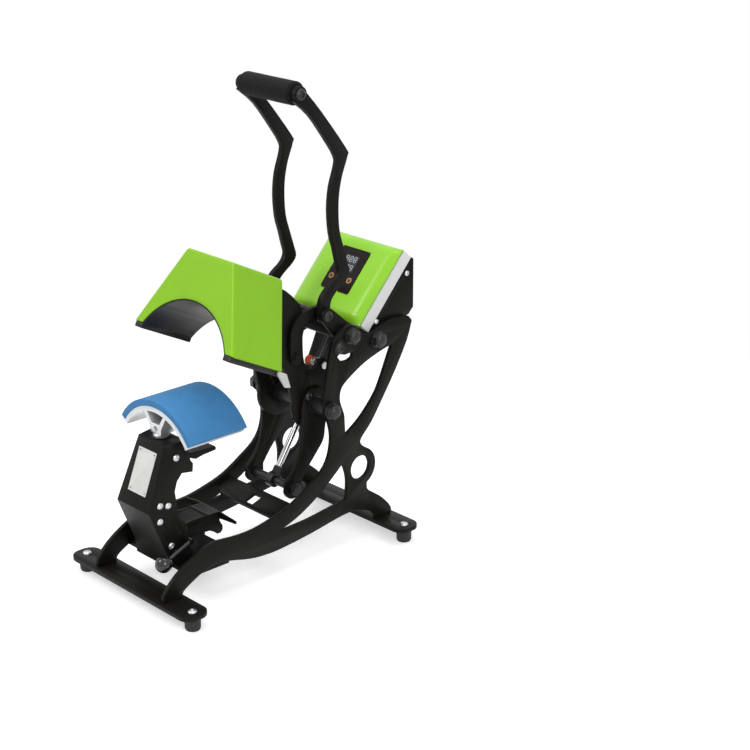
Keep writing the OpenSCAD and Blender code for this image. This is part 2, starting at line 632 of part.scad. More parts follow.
// The controller box: sheet-steel back, pale side trims, crowned green cover on a 48 degree slope
box_half = plate_in - box_clear;
cover_low = [289, 276];
cover_top = [359.5, 354];
cover_len = norm(cover_top - cover_low);
cover_angle = atan2(cover_top[1] - cover_low[1], cover_top[0] - cover_low[0]);
cover_n = [-sin(cover_angle), cos(cover_angle)];
trim_low = cover_low - trim_w * cover_n;
trim_top = cover_top - trim_w * cover_n;
box_high = 338;
box_side = [trim_low, trim_top, [box_rear, box_high], [box_rear, 278], [370, 270]];
floor_z = 273;
inner_rear = box_rear - box_t;
module on_cover(v, h) translate([0, cover_low[0], cover_low[1]]) rotate([cover_angle, 0, 0]) translate([0, v, h]) children();
module controller_box() color("#232324") seat() difference() {
    sheet(-box_half, 2 * box_half) polygon(box_side);
    sheet(-box_half + box_t, 2 * (box_half - box_t)) polygon([trim_low + [-30, 12], trim_low + [13, 14],
        [box_rear - 10, floor_z + box_t + 2], [inner_rear, floor_z + 7], [inner_rear, box_high - 2],
        trim_top + [-1.5, -2.5], trim_top + [-30, 10]]);
    sheet(-box_half + box_t, 2 * (box_half - box_t)) polygon([[260, 240], [400, 240], [400, floor_z - 5],
        [box_rear - 6, floor_z], [trim_low[0] + 12, floor_z - 1], [trim_low[0] - 2, floor_z - 5]]);
    for (p = box_screw_points) rod_x(p, -100, 100, 1.5 + fit);
    translate([inlet_x, box_rear + 1, inlet_z]) cube([inlet_w, 6, inlet_h], center = true);
    translate([switch_x, box_rear, inlet_z]) cube([switch_w, 6, switch_h], center = true);
    translate([fuse_x, box_rear - 4, inlet_z]) rotate([-90, 0, 0]) cylinder(r = 6 + fit, h = 8);
}
module controller_trim() color("#e2e2e4") seat() both_sides() sheet(box_half - 7, 7)
    polygon([cover_low, cover_top, trim_top, trim_low]);
module frustum(w0, l0, w1, l1, h, shift = 0) hull() {
    linear_extrude(0.01) square([w0, l0], center = true);
    translate([0, shift, h - 0.01]) linear_extrude(0.01) square([w1, l1], center = true);
}
panel_v = 57.5;
button_v = 45;
button_pitch = 31;
ring_w = 1.3;
module controller_cover() color("#8bd23f") seat() difference() {
    on_cover(cover_len / 2, 0) union() {
        translate([0, 0, 0]) frustum(2 * box_half + 3, cover_len + 3, 2 * box_half - 26, cover_len - 18, crown_h, 1);
        translate([-box_half + 7.2, -cover_len / 2 + 1, -3]) cube([2 * box_half - 14.4, cover_len - 2, 3]);
    }
    on_cover(cover_len / 2, 0) translate([0, 0, -4])
        frustum(2 * box_half - 20, cover_len - 8, 2 * box_half - 34, cover_len - 24, crown_h + 2, 1);
    on_cover(panel_v, crown_h - 0.8) linear_extrude(4) panel_shape(0.2);
    on_cover(button_v, crown_h - 5) for (s = [-1, 1]) translate([s * button_pitch / 2, 0, 0])
        cylinder(r = button_r + ring_w + 0.1, h = 6);
    on_cover(panel_v + 9, crown_h - 5) linear_extrude(6) square([24, 22], center = true);
}
module panel_shape(grow) difference() {
    square([panel_w + 2 * grow, panel_len + 2 * grow], center = true);
    translate([0, -panel_len / 2 - grow]) polygon([[-7, -1], [-5, 3 + grow], [5, 3 + grow], [7, -1]]);
    for (s = [-1, 1], v = [-1, 1]) translate([s * (panel_w / 2 + grow), v * (panel_len / 2 + grow)])
        rotate(45) square(4, center = true);
}
module display_panel() color("#1d1512") seat() on_cover(panel_v, crown_h - 0.8) difference() {
    linear_extrude(1.6) panel_shape(0);
    for (s = [-1, 1]) translate([s * button_pitch / 2, button_v - panel_v, -1]) cylinder(r = button_r + ring_w + fit, h = 4);
    translate([0, 9, 0]) linear_extrude(9, center = true) square([24 + 0.2, 22 + 0.2], center = true);
}
module display_window() color("#5b5f66") seat() on_cover(panel_v + 9, crown_h - 4.4)
    linear_extrude(4.8) square([24, 22], center = true);
module at_button(s) on_cover(button_v, crown_h) translate([s * button_pitch / 2, 0, 0]) children();
module button_rings() color("#c98a3c") seat() for (s = [-1, 1]) at_button(s) translate([0, 0, -3]) difference() {
    cylinder(r = button_r + ring_w, h = 4.4);
    translate([0, 0, 1.2]) cylinder(r = button_r + fit, h = 4);
    translate([0, 0, -1]) cylinder(r = 1.2 + fit, h = 4);
}
module button(s) at_button(s) {
    translate([0, 0, button_travel - 1.7]) cylinder(r = button_r, h = 3.2 - button_travel);
    translate([0, 0, -3]) cylinder(r = 1.2, h = button_travel + 1.4);
}
module button_up() color("#2a1d18") seat() button(1);
module button_down() color("#2a1d18") seat() button(-1);
box_screw_points = [[367, 322], [317, 272.7]];
module box_screws() color("#c9cacb") seat() both_sides() for (p = box_screw_points) {
    rod_x(p, box_half - 5, box_half, 1.5);
    button_head_x(p, box_half, 3.4, 2);
}

// Back of the box: mains inlet, rocker switch and fuse holder
inlet_z = 310;
inlet_x = -box_half + 29.5;
inlet_w = 28;
inlet_h = 24;
switch_x = box_half - 49.5;
switch_w = 20;
switch_h = 13;
fuse_x = box_half - 21.5;
module power_inlet() color("#1b1b1b") seat() translate([inlet_x, box_rear, inlet_z]) difference() {
    union() {
        translate([-inlet_w / 2 - 5, 0, -inlet_h / 2 - 2]) cube([inlet_w + 10, rear_fittings, inlet_h + 4]);
        translate([-inlet_w / 2 + 0.2, -15, -inlet_h / 2 + 0.2]) cube([inlet_w - 0.4, 15, inlet_h - 0.4]);
    }
    translate([-11.5, -12, -7.5]) cube([23, 20, 15]);
}
switch_t = 1.8;
rocker_y = -1.5;
rocker_pin_r = 1.2;
module switch_bezel() color("#141414") seat() translate([switch_x, box_rear, inlet_z]) rotate([-90, 0, 0]) difference() {
    union() {
        linear_extrude(switch_t) square([switch_w + 5, switch_h + 5], center = true);
        translate([0, 0, -9]) linear_extrude(9.5) square([switch_w - 0.3, switch_h - 0.3], center = true);
    }
    translate([0, 0, -7.5]) linear_extrude(14) square([switch_w - 2.2, switch_h - 1.2], center = true);
    translate([0, 0, rocker_y]) rotate([0, 90, 0]) cylinder(r = rocker_pin_r + fit, h = switch_w + 2, center = true);
}
module power_switch() color("#b3271f") seat() translate([switch_x, box_rear, inlet_z]) rotate([90, 0, 90]) {
    translate([0, 0, -switch_w / 2 + 1.4]) linear_extrude(switch_w - 2.8)
        polygon([[-2, -3.6], [2.8, -4.9], [2.9, 0], [1.6, 4.6], [-2, 3.6], [-4.5, 0.8], [-4.5, -0.8]]);
    translate([rocker_y, 0, 0]) cylinder(r = rocker_pin_r, h = switch_w - 0.8, center = true);
}
module fuse_holder() color("#202020") seat() translate([fuse_x, box_rear, inlet_z]) rotate([-90, 0, 0]) difference() {
    union() {
        cylinder(r = 8, h = 2);
        translate([0, 0, 2]) cylinder(r = 5.5, h = rear_fittings - 2);
        translate([0, 0, -18]) cylinder(r = 6, h = 18);
    }
    translate([-4, -0.6, rear_fittings - 0.8]) cube([8, 1.2, 2]);
}

// Cap hold-down: a pointed blade behind the stand on two bracket plates, moved by the ball lever
bail_y = 106;
bail_z = 75.5;
bracket_x = 14;
bracket_t = 3;
bracket = [[40, 65], [70, 62], [92, 60], [99, 56], [103, 52.5], [108, 52.5], [111, 56], [111, 61], [107, 68],
    [107, 80], [100, 80], [70, 81], [40, 79]];
module hold_down_bail() color("#262524") seat() {
    translate([0, bail_y + 2, bail_z]) rotate([90, 0, 0]) linear_extrude(2)
        polygon([[-bail_half, -1.5], [-bail_half + 22, -bail_h / 2], [bail_half - 34, -bail_h / 2],
            [bail_half, -1.5], [bail_half, 1.5], [bail_half - 34, bail_h / 2], [-bail_half + 22, bail_h / 2],
            [-bail_half, 1.5]]);
    translate([-bracket_x - bracket_t, 89, 73]) cube([2 * (bracket_x + bracket_t), 2, 8]);
    translate([-bracket_x - 0.5, 86, 63.5]) cube([2 * bracket_x + 1, 7, 9.5]);
    translate([-bracket_x - 0.5, 60, 78]) cube([2 * bracket_x + 1, 46.5, 2]);
    both_sides() difference() {
        sheet(bracket_x, bracket_t) union() {
            polygon(bracket);
            translate(lever_axis) circle(8);
        }
        rod_x(lever_axis, bracket_x - 1, bracket_x + bracket_t + 1, lever_r + fit);
    }
}
ball_centre = [6, 56];
ball_x = 43;
module lever_and_ball() color("#161616") seat() {
    rod_x(lever_axis, -stand_w / 2 - 4, ball_x + lever_r, lever_r);
    translate([ball_x, 0, 0]) {
        d = lever_axis - ball_centre;
        translate([0, ball_centre[0], ball_centre[1]]) rotate([atan2(d[1], d[0]) - 90, 0, 0]) cylinder(r = lever_r, h = norm(d));
        translate([0, ball_centre[0], ball_centre[1]]) sphere(ball_r);
    }
}

side_plate_left();
side_plate_right();
front_foot_bar();
rear_foot_bar();
rubber_feet();
foot_screws();
base_plate();
mid_cross_plate();
stand_shell();
stand_screws();
stand_plate();
bill_support();
post_ring();
main_shaft();
handle_shaft();
strut_shaft();
shaft_spacers();
shaft_nuts();
plate_bolts();
platen_extrusion();
silicone_pad();
platen_post();
head_cover();
head_back_plate();
heater_saddle();
heat_shield_tab();
arm_plate_left();
arm_plate_right();
tail_plates();
pivot_tube();
tail_shaft();
arm_bolts();
adjuster_knob();
adjuster_cap();
toggle_links();
strut_cylinder();
strut_rod();
handle_arm_left();
handle_arm_right();
foam_grip();
grip_rod();
grip_bolts();
crank_plates();
handle_tube();
link_shaft();
controller_box();
controller_trim();
controller_cover();
display_panel();
display_window();
button_rings();
button_up();
button_down();
box_screws();
power_inlet();
power_switch();
switch_bezel();
fuse_holder();
hold_down_bail();
lever_and_ball();
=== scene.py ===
"""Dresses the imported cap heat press: finishes, finer pieces over the plain ones, and the studio."""

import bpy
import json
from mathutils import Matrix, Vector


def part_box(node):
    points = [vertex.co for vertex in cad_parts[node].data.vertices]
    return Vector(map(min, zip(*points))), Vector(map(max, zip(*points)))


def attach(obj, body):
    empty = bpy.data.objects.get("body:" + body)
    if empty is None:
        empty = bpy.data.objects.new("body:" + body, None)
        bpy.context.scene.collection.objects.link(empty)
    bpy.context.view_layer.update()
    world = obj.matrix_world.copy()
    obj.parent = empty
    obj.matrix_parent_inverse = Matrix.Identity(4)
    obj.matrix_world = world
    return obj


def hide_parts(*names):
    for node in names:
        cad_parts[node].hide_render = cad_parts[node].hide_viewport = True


bl_info = {
    "name": "Cap Heat Press",
    "version": (1, 0, 0),
    "blender": (4, 5, 0),
    "location": "3D View > Sidebar > Heat Press",
    "description": "Builds the finishes, finer pieces and studio of a clamshell cap heat press",
    "category": "Object",
}

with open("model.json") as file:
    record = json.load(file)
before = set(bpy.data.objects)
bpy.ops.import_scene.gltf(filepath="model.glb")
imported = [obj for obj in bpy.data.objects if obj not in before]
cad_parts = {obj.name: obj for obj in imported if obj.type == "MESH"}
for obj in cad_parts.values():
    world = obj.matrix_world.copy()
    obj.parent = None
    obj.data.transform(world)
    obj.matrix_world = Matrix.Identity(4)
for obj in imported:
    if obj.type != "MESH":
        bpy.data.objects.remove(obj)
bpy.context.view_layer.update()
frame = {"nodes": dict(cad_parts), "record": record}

import json
import math

import bmesh
import bpy
import numpy as np
from mathutils import Vector

MM = 0.001
NODES = frame["nodes"]


# Colour and shader nodes

def linear(code):
    """An sRGB hex colour made linear: a channel over 12.92 when dark, else ((c + 0.055) / 1.055) ^ 2.4."""
    channels = [int(code[i:i + 2], 16) / 255 for i in (1, 3, 5)]
    return tuple(c / 12.92 if c <= 0.04045 else ((c + 0.055) / 1.055) ** 2.4 for c in channels)


def add(tree, kind, inputs=None, **settings):
    """Adds one shader node, sets its properties, and fills or links its sockets."""
    made = tree.nodes.new(kind)
    for name, value in settings.items():
        setattr(made, name, value)
    for name, value in (inputs or {}).items():
        if isinstance(value, bpy.types.NodeSocket):
            tree.links.new(value, made.inputs[name])
        else:
            made.inputs[name].default_value = value
    return made


def remap(tree, value, given=(0.0, 1.0), wanted=(0.0, 1.0), **settings):
    """A value carried from one range to another."""
    ends = {"Value": value, "From Min": given[0], "From Max": given[1],
            "To Min": wanted[0], "To Max": wanted[1]}
    return add(tree, "ShaderNodeMapRange", ends, **settings).outputs["Result"]


def mixed(tree, share, first, second):
    """Two colours mixed by a share; 0, 6, 7 and 2 are the mix node's sockets for colours."""
    return add(tree, "ShaderNodeMix", {0: share, 6: first, 7: second}, data_type="RGBA").outputs[2]


def principled(name):
    """A new material, with its node tree and its main shader."""
    material = bpy.data.materials.new(name)
    material.use_nodes = True
    tree = material.node_tree
    return material, tree, next(n for n in tree.nodes if n.type == "BSDF_PRINCIPLED")


def surface(name, colour, drift=0.04, drift_mm=45.0, grain_mm=0.6, grain_depth=0.02, stretch=(1, 1, 1),
            rough=(0.4, 0.5), metallic=0.0, specular=0.5, coat=0.0, coat_rough=0.1, sheen=0.0, specks=0.0,
            voronoi=False):
    """A material whose colour drifts slowly, with grain of grain_mm, and whose gloss follows the grain.

    drift is how far the colour moves to its darker and lighter neighbour over drift_mm. stretch scales
    the grain along X, Y and Z, so a small number there draws it out into brush or mill marks. specular is
    the strength of the shine on what is not bare metal.
    """
    material, tree, shader = principled(name)
    for socket, value in (("Metallic", metallic), ("Coat Weight", coat), ("Coat Roughness", coat_rough),
                          ("Sheen Weight", sheen), ("Specular IOR Level", specular)):
        shader.inputs[socket].default_value = value
    place = add(tree, "ShaderNodeTexCoord").outputs["Object"]
    slow = add(tree, "ShaderNodeTexNoise", {"Vector": place, "Scale": 1000 / drift_mm, "Detail": 2.0})
    along = add(tree, "ShaderNodeMapping", {"Vector": place, "Scale": stretch}).outputs["Vector"]
    size = {"Vector": along, "Scale": 1000 / grain_mm}
    if voronoi:
        fine = add(tree, "ShaderNodeTexVoronoi", size).outputs["Distance"]
    else:
        fine = add(tree, "ShaderNodeTexNoise", {**size, "Detail": 3.0}).outputs["Fac"]
    base = np.array(linear(colour))
    dark = tuple(base * (1 - 4 * drift)) + (1.0,)
    light = tuple(np.minimum(base * (1 + 3 * drift) + 0.02 * drift, 1.0)) + (1.0,)
    result = mixed(tree, slow.outputs["Fac"], dark, light)
    if specks:
        spot = remap(tree, fine, (0.62, 0.78), (0.0, specks))
        pale = tuple(np.minimum(base * 1.6 + 0.01, 1.0)) + (1.0,)
        result = mixed(tree, spot, result, pale)
    tree.links.new(result, shader.inputs["Base Color"])
    tree.links.new(remap(tree, fine, (0.3, 0.7), rough), shader.inputs["Roughness"])
    relief = add(tree, "ShaderNodeBump", {"Height": fine, "Strength": 1.0, "Distance": grain_depth * MM})
    tree.links.new(relief.outputs["Normal"], shader.inputs["Normal"])
    return material


def seen_directly(tree):
    """One for camera, mirror and see-through rays, and nought for the rays that carry light."""
    ray = add(tree, "ShaderNodeLightPath").outputs
    seen = ray["Is Camera Ray"]
    for kind in ("Is Glossy Ray", "Is Transmission Ray"):
        seen = add(tree, "ShaderNodeMath", {0: seen, 1: ray[kind]}, operation="MAXIMUM").outputs["Value"]
    return seen


# Mesh helpers

def placed(name, data):
    """A new object of the scene that holds the data."""
    made = bpy.data.objects.new(name, data)
    bpy.context.scene.collection.objects.link(made)
    return made


def modify(piece, name, kind, **settings):
    """Adds one modifier and sets its properties."""
    made = piece.modifiers.new(name, kind)
    for key, value in settings.items():
        setattr(made, key, value)


def triples(x, y, z):
    """Three arrays or numbers, spread to the shape they share, as the last axis of one array."""
    return np.stack(np.broadcast_arrays(x, y, z), axis=-1)


def grid_faces(rows, columns, loop_rows=False, loop_columns=False):
    """Quads between neighbours of a grid; a looped one has its last row or column joined to the first."""
    r = np.arange(rows if loop_rows else rows - 1)
    c = np.arange(columns if loop_columns else columns - 1)
    r, c = (a.ravel() for a in np.meshgrid(r, c, indexing="ij"))
    up, right = (r + 1) % rows, (c + 1) % columns
    return np.stack([r * columns + c, up * columns + c, up * columns + right, r * columns + right], axis=1)


def new_piece(name, points, faces, sharp=35.0, outward=True):
    """A mesh object from points in metres: doubles merge, and edges past sharp degrees stay crisp."""
    mesh = bpy.data.meshes.new(name)
    mesh.from_pydata(points.reshape(-1, 3).tolist(), [], [list(face) for face in faces])
    work = bmesh.new()
    work.from_mesh(mesh)
    bmesh.ops.remove_doubles(work, verts=work.verts, dist=0.002 * MM)
    bmesh.ops.dissolve_degenerate(work, edges=work.edges, dist=0.001 * MM)
    if outward:
        bmesh.ops.recalc_face_normals(work, faces=work.faces)
    work.to_mesh(mesh)
    work.free()
    mesh.shade_smooth()
    mesh.set_sharp_from_angle(angle=math.radians(sharp))
    return placed(name, mesh)


def skin(name, points, loop_rows=False, loop_columns=False, **settings):
    """A mesh object through a grid of points (row, column, xyz)."""
    return new_piece(name, points, grid_faces(*points.shape[:2], loop_rows, loop_columns), **settings)


def closed_tube(name, points, sharp=35.0):
    """A tube through rings of points (ring, step, xyz), with a fan of triangles at each end."""
    rings, steps = points.shape[:2]
    flat = np.concatenate([points.reshape(-1, 3), [points[0].mean(axis=0), points[-1].mean(axis=0)]])
    here = np.arange(steps)
    ahead, final, tip = (here + 1) % steps, (rings - 1) * steps, rings * steps
    first = triples(ahead, here, tip)
    last = triples(here + final, ahead + final, tip + 1)
    faces = grid_faces(rings, steps, loop_columns=True).tolist() + first.tolist() + last.tolist()
    return new_piece(name, flat, faces, sharp)


def wear(piece, finish):
    """Gives a piece one finish."""
    piece.data.materials.clear()
    piece.data.materials.append(FINISHES[finish])


def fit(piece, node=None, finish=None, body=None):
    """Gives a piece the finish and body named, or else those of the node that it stands for."""
    wear(piece, finish or FINISH_OF[node])
    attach(piece, body or body_of_node(node))
    if node:
        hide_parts(node)


def body_of_node(node):
    """The name of the body that carries a node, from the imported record."""
    bodies = frame["record"]["behaviour"]["bodies"]
    return next(body for body, held in bodies.items() if node in held)


def softened(node, width, reshape=None):
    """A copy of a node with its outer edges rounded over width millimetres, so that they catch the light.

    reshape takes and gives an array of points, and is run on the plain copy.
    """
    mesh = NODES[node].data.copy()
    if reshape:
        points = np.empty(len(mesh.vertices) * 3, np.float32)
        mesh.vertices.foreach_get("co", points)
        mesh.vertices.foreach_set("co", reshape(points.reshape(-1, 3)).astype(np.float32).ravel())
        mesh.update()
    work = bmesh.new()
    work.from_mesh(mesh)
    bmesh.ops.remove_doubles(work, verts=work.verts, dist=0.003 * MM)
    bmesh.ops.dissolve_limit(work, angle_limit=math.radians(0.5), verts=work.verts, edges=work.edges)
    work.to_mesh(mesh)
    work.free()
    mesh.shade_smooth()
    piece = placed(node + "_eased", mesh)
    modify(piece, "Eased edge", "BEVEL", width=width * MM, segments=2, limit_method="ANGLE",
           angle_limit=math.radians(32), harden_normals=True)
    return piece


def corners(node):
    """The low corner, the high corner and the middle of a node's box, in metres."""
    low, high = (np.array(v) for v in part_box(node))
    return low, high, (low + high) / 2


def full_turn(steps):
    """Equal angles once round a circle."""
    return np.linspace(0, 2 * math.pi, steps, endpoint=False)


def around(x, y, radius, height):
    """Points round the vertical line at x and y, from radii by row and step, and each row's height."""
    turn = full_turn(radius.shape[1])
    return triples(x + radius * np.cos(turn), y + radius * np.sin(turn), height)


def evenly(path, count):
    """A flat path at equal steps of its length, and how far along it each step lies."""
    reach = np.concatenate([[0], np.cumsum(np.linalg.norm(np.diff(path, axis=0), axis=1))])
    along = np.linspace(0, reach[-1], count)
    return np.stack([np.interp(along, reach, path[:, k]) for k in (0, 1)], axis=1), along


def turned(axis_point, along, profile, steps=64):
    """Points of a surface of revolution: each pair (distance along, radius) swept once round the line."""
    along = np.array(along, float) / np.linalg.norm(along)
    side = np.cross(along, (0.0, 0.0, 1.0) if abs(along[2]) < 0.9 else (1.0, 0.0, 0.0))
    side /= np.linalg.norm(side)
    other = np.cross(along, side)
    turn = full_turn(steps)
    rim = np.cos(turn)[:, None] * side + np.sin(turn)[:, None] * other
    profile = np.array(profile, float)
    return np.array(axis_point) + profile[:, 0, None, None] * along + profile[:, 1, None, None] * rim[None]


def rounded_rectangle(width, height, radius, per_corner):
    """Points round a centred rectangle: four quarter circles of the radius, joined by its sides."""
    turn = np.linspace(0, math.pi / 2, per_corner)
    arcs = []
    for quarter, (sx, sy) in enumerate(((1, 1), (-1, 1), (-1, -1), (1, -1))):
        angle = turn + quarter * math.pi / 2
        arcs.append(np.stack([sx * (width / 2 - radius) + radius * np.cos(angle),
                              sy * (height / 2 - radius) + radius * np.sin(angle)], axis=1))
    return np.concatenate(arcs)


# Where the tilted head and the sloped controller lie

def in_head(x, depth, up):
    """Head coordinates in millimetres to metres: depth runs back along the tilted head, up square to it."""
    props = bpy.context.scene.press_head
    tilt = props.tilt
    return triples(x, props.corner_y / MM + depth * math.cos(tilt) + up * math.sin(tilt),
                   props.corner_z / MM - depth * math.sin(tilt) + up * math.cos(tilt)) * MM


def on_cover(x, v, h):
    """Controller coordinates in millimetres to metres: v runs up the slope, and h stands off it."""
    props = bpy.context.scene.press_controller
    slope = props.slope
    return triples(x, props.foot_y / MM + v * math.cos(slope) - h * math.sin(slope),
                   props.foot_z / MM + v * math.sin(slope) + h * math.cos(slope)) * MM


def length_prop(name, description, default):
    """A length property in metres, made from millimetres."""
    return bpy.props.FloatProperty(name=name, description=description, default=default * MM, unit="LENGTH",
                                   subtype="DISTANCE", precision=5)


def angle_prop(name, description, default):
    """An angle property, made from degrees."""
    return bpy.props.FloatProperty(name=name, description=description, default=math.radians(default),
                                   subtype="ANGLE", unit="ROTATION")


def colour_prop(name, description, code):
    """A colour property, held as an sRGB hex value."""
    return bpy.props.StringProperty(name=name, description=description, default=code)


class PressColours(bpy.types.PropertyGroup):
    """Colours of the press, as sRGB hex values."""
    powder_black: colour_prop("Powder black", "Powder coat on the steel plates", "#141311")
    handle_black: colour_prop("Handle black", "Powder coat on the handle", "#151413")
    cover_green: colour_prop("Cover green", "Enamel on the head cover", "#8bc70f")
    shell_green: colour_prop("Shell green", "Moulded controller cover", "#90d028")
    pad_blue: colour_prop("Pad blue", "Silicone rubber of the platen pad", "#3c82ba")
    trim_grey: colour_prop("Trim grey", "Moulded side trim of the controller", "#f4f4f5")
    signal_orange: colour_prop("Signal orange", "Cap of the adjuster", "#cc4a1c")
    ring_gold: colour_prop("Ring gold", "Rings round the touch buttons", "#c98f45")


class PressHead(bpy.types.PropertyGroup):
    """Place and sizes of the tilted head."""
    corner_y: length_prop("Corner Y", "Front lower corner of the head", -105.15)
    corner_z: length_prop("Corner Z", "Height of the front lower corner", 295.9)
    tilt: angle_prop("Tilt", "Lean of the open head", 26.5)
    half_low: length_prop("Half width below", "Half width of the cover at its bottom edge", 88)
    half_top: length_prop("Half width above", "Half width of the cover at its top edge", 41)
    height: length_prop("Height", "Height of the cover", 97)
    depth: length_prop("Depth", "Depth of the cover", 77)
    sheet: length_prop("Sheet", "Thickness of the cover's steel sheet", 2)
    fold: length_prop("Fold radius", "Radius of the folds of the sheet", 2.2)
    corner: length_prop("Corner blend", "Reach of the rounding at the corners of the outline", 3.7)
    arch_radius: length_prop("Arch radius", "Radius of the cut-out of the front", 86.2)
    arch_drop: length_prop("Arch centre", "How far the arch's centre lies below the bottom edge", 43)


class PressController(bpy.types.PropertyGroup):
    """Place and sizes of the controller's cover."""
    foot_y: length_prop("Foot Y", "Lower edge of the cover", 107.25)
    foot_z: length_prop("Foot Z", "Height of the lower edge", 276)
    slope: angle_prop("Slope", "Slope of the cover", 47.89)
    half_width: length_prop("Half width", "Half width of the cover", 61)
    length: length_prop("Length", "Length of the cover up its slope", 105.1)
    overhang: length_prop("Overhang", "How far the cover reaches past the slope's lower edge", 1.5)
    crown: length_prop("Crown", "Height of the cover's crown", 6)
    rise_side: length_prop("Side rise", "Width over which the crown rises from each side", 17)
    rise_end: length_prop("End rise", "Width over which the crown rises from each end", 12)
    seat: length_prop("Seat", "Depth of the panel's seat below the crown", 0.9)
    trim_depth: length_prop("Trim depth", "Depth of the side trims, and of the walls between them", 18)
    trim_sink: length_prop("Further trim depth", "How much further down the box's sides the trims reach", 2.5)
    trim_gap: length_prop("Half gap", "Half of the distance between the trims", 52.3)
    panel_half: length_prop("Panel half width", "Half width of the dark panel", 24.2)
    panel_low: length_prop("Panel foot", "Lower edge of the panel, up the slope", 28.3)
    panel_high: length_prop("Panel head", "Upper edge of the panel, up the slope", 86.7)


class PressPlaten(bpy.types.PropertyGroup):
    """Sizes of the platen, its pad and its post."""
    centre_z: length_prop("Curve centre", "Height of the pad's curve centre", 154.4)
    pad_radius: length_prop("Pad radius", "Outer radius of the pad", 77)
    pad_thick: length_prop("Pad thickness", "Thickness of the pad", 8)
    half_arc: angle_prop("Half arc", "Half of the pad's arc, a little short of the arch's ends", 56.5)
    pitch: length_prop("Thread pitch", "Pitch of the post's thread", 2)
    ring: length_prop("Ring radius", "Outer radius of the lock ring", 9.5)
    edge: length_prop("Edge radius", "Rounding of the pad's cut edges", 0.9)


class PressStand(bpy.types.PropertyGroup):
    """Sizes of the folded stand's front, and of the bill support behind it."""
    fold_y: length_prop("Fold Y", "Fold between the front and the lower panel", -183.15)
    fold_z: length_prop("Fold height", "Height of that fold", 114)
    rise: length_prop("Front height", "Height of the front above the fold", 73)
    run: length_prop("Front run", "How far the plain front leans back over its height", 20.4)
    lean: length_prop("Further lean", "How much further back the front's top lies", 8.5)
    taper: bpy.props.FloatProperty(name="Taper", description="Share by which the front narrows to its top",
                                   default=0.23, subtype="FACTOR")
    depth: length_prop("Depth of the fold", "Distance behind the front over which the sides straighten", 14)
    skin: length_prop("Skin", "Depth behind the front's face that leans with it in full", 2.3)
    plate_shift: length_prop("Plate shift", "How far the bare plate lies left of its plain place", 2)
    bill_half: length_prop("Support half width", "Half width of the bill support", 11)
    bill_sheet: length_prop("Support sheet", "Thickness of the bill support's sheet", 1.8)


class PressStrut(bpy.types.PropertyGroup):
    """Place and sizes of the gas strut's rod."""
    foot_y: length_prop("Foot Y", "Axis of the tail shaft", 21.25)
    foot_z: length_prop("Foot Z", "Height of the tail shaft", 86)
    slope: angle_prop("Slope", "Slope of the strut at rest", 56.786)
    rod: length_prop("Rod radius", "Radius of the polished rod", 4)
    reach: length_prop("Rod reach", "Distance from the tail shaft to the rod's hidden end", 137)
    eye: length_prop("Eye radius", "Outer radius of the eye", 9)
    bore: length_prop("Eye bore", "Radius of the bore of the eye", 7)
    half: length_prop("Eye half width", "Half width of the eye", 5)
    nut: length_prop("Nut radius", "Half width over the corners of the lock nut", 5.5)
    nut_foot: length_prop("Nut foot", "Distance from the tail shaft to the lock nut", 8)
    nut_height: length_prop("Nut height", "Height of the lock nut", 9)


# The finishes

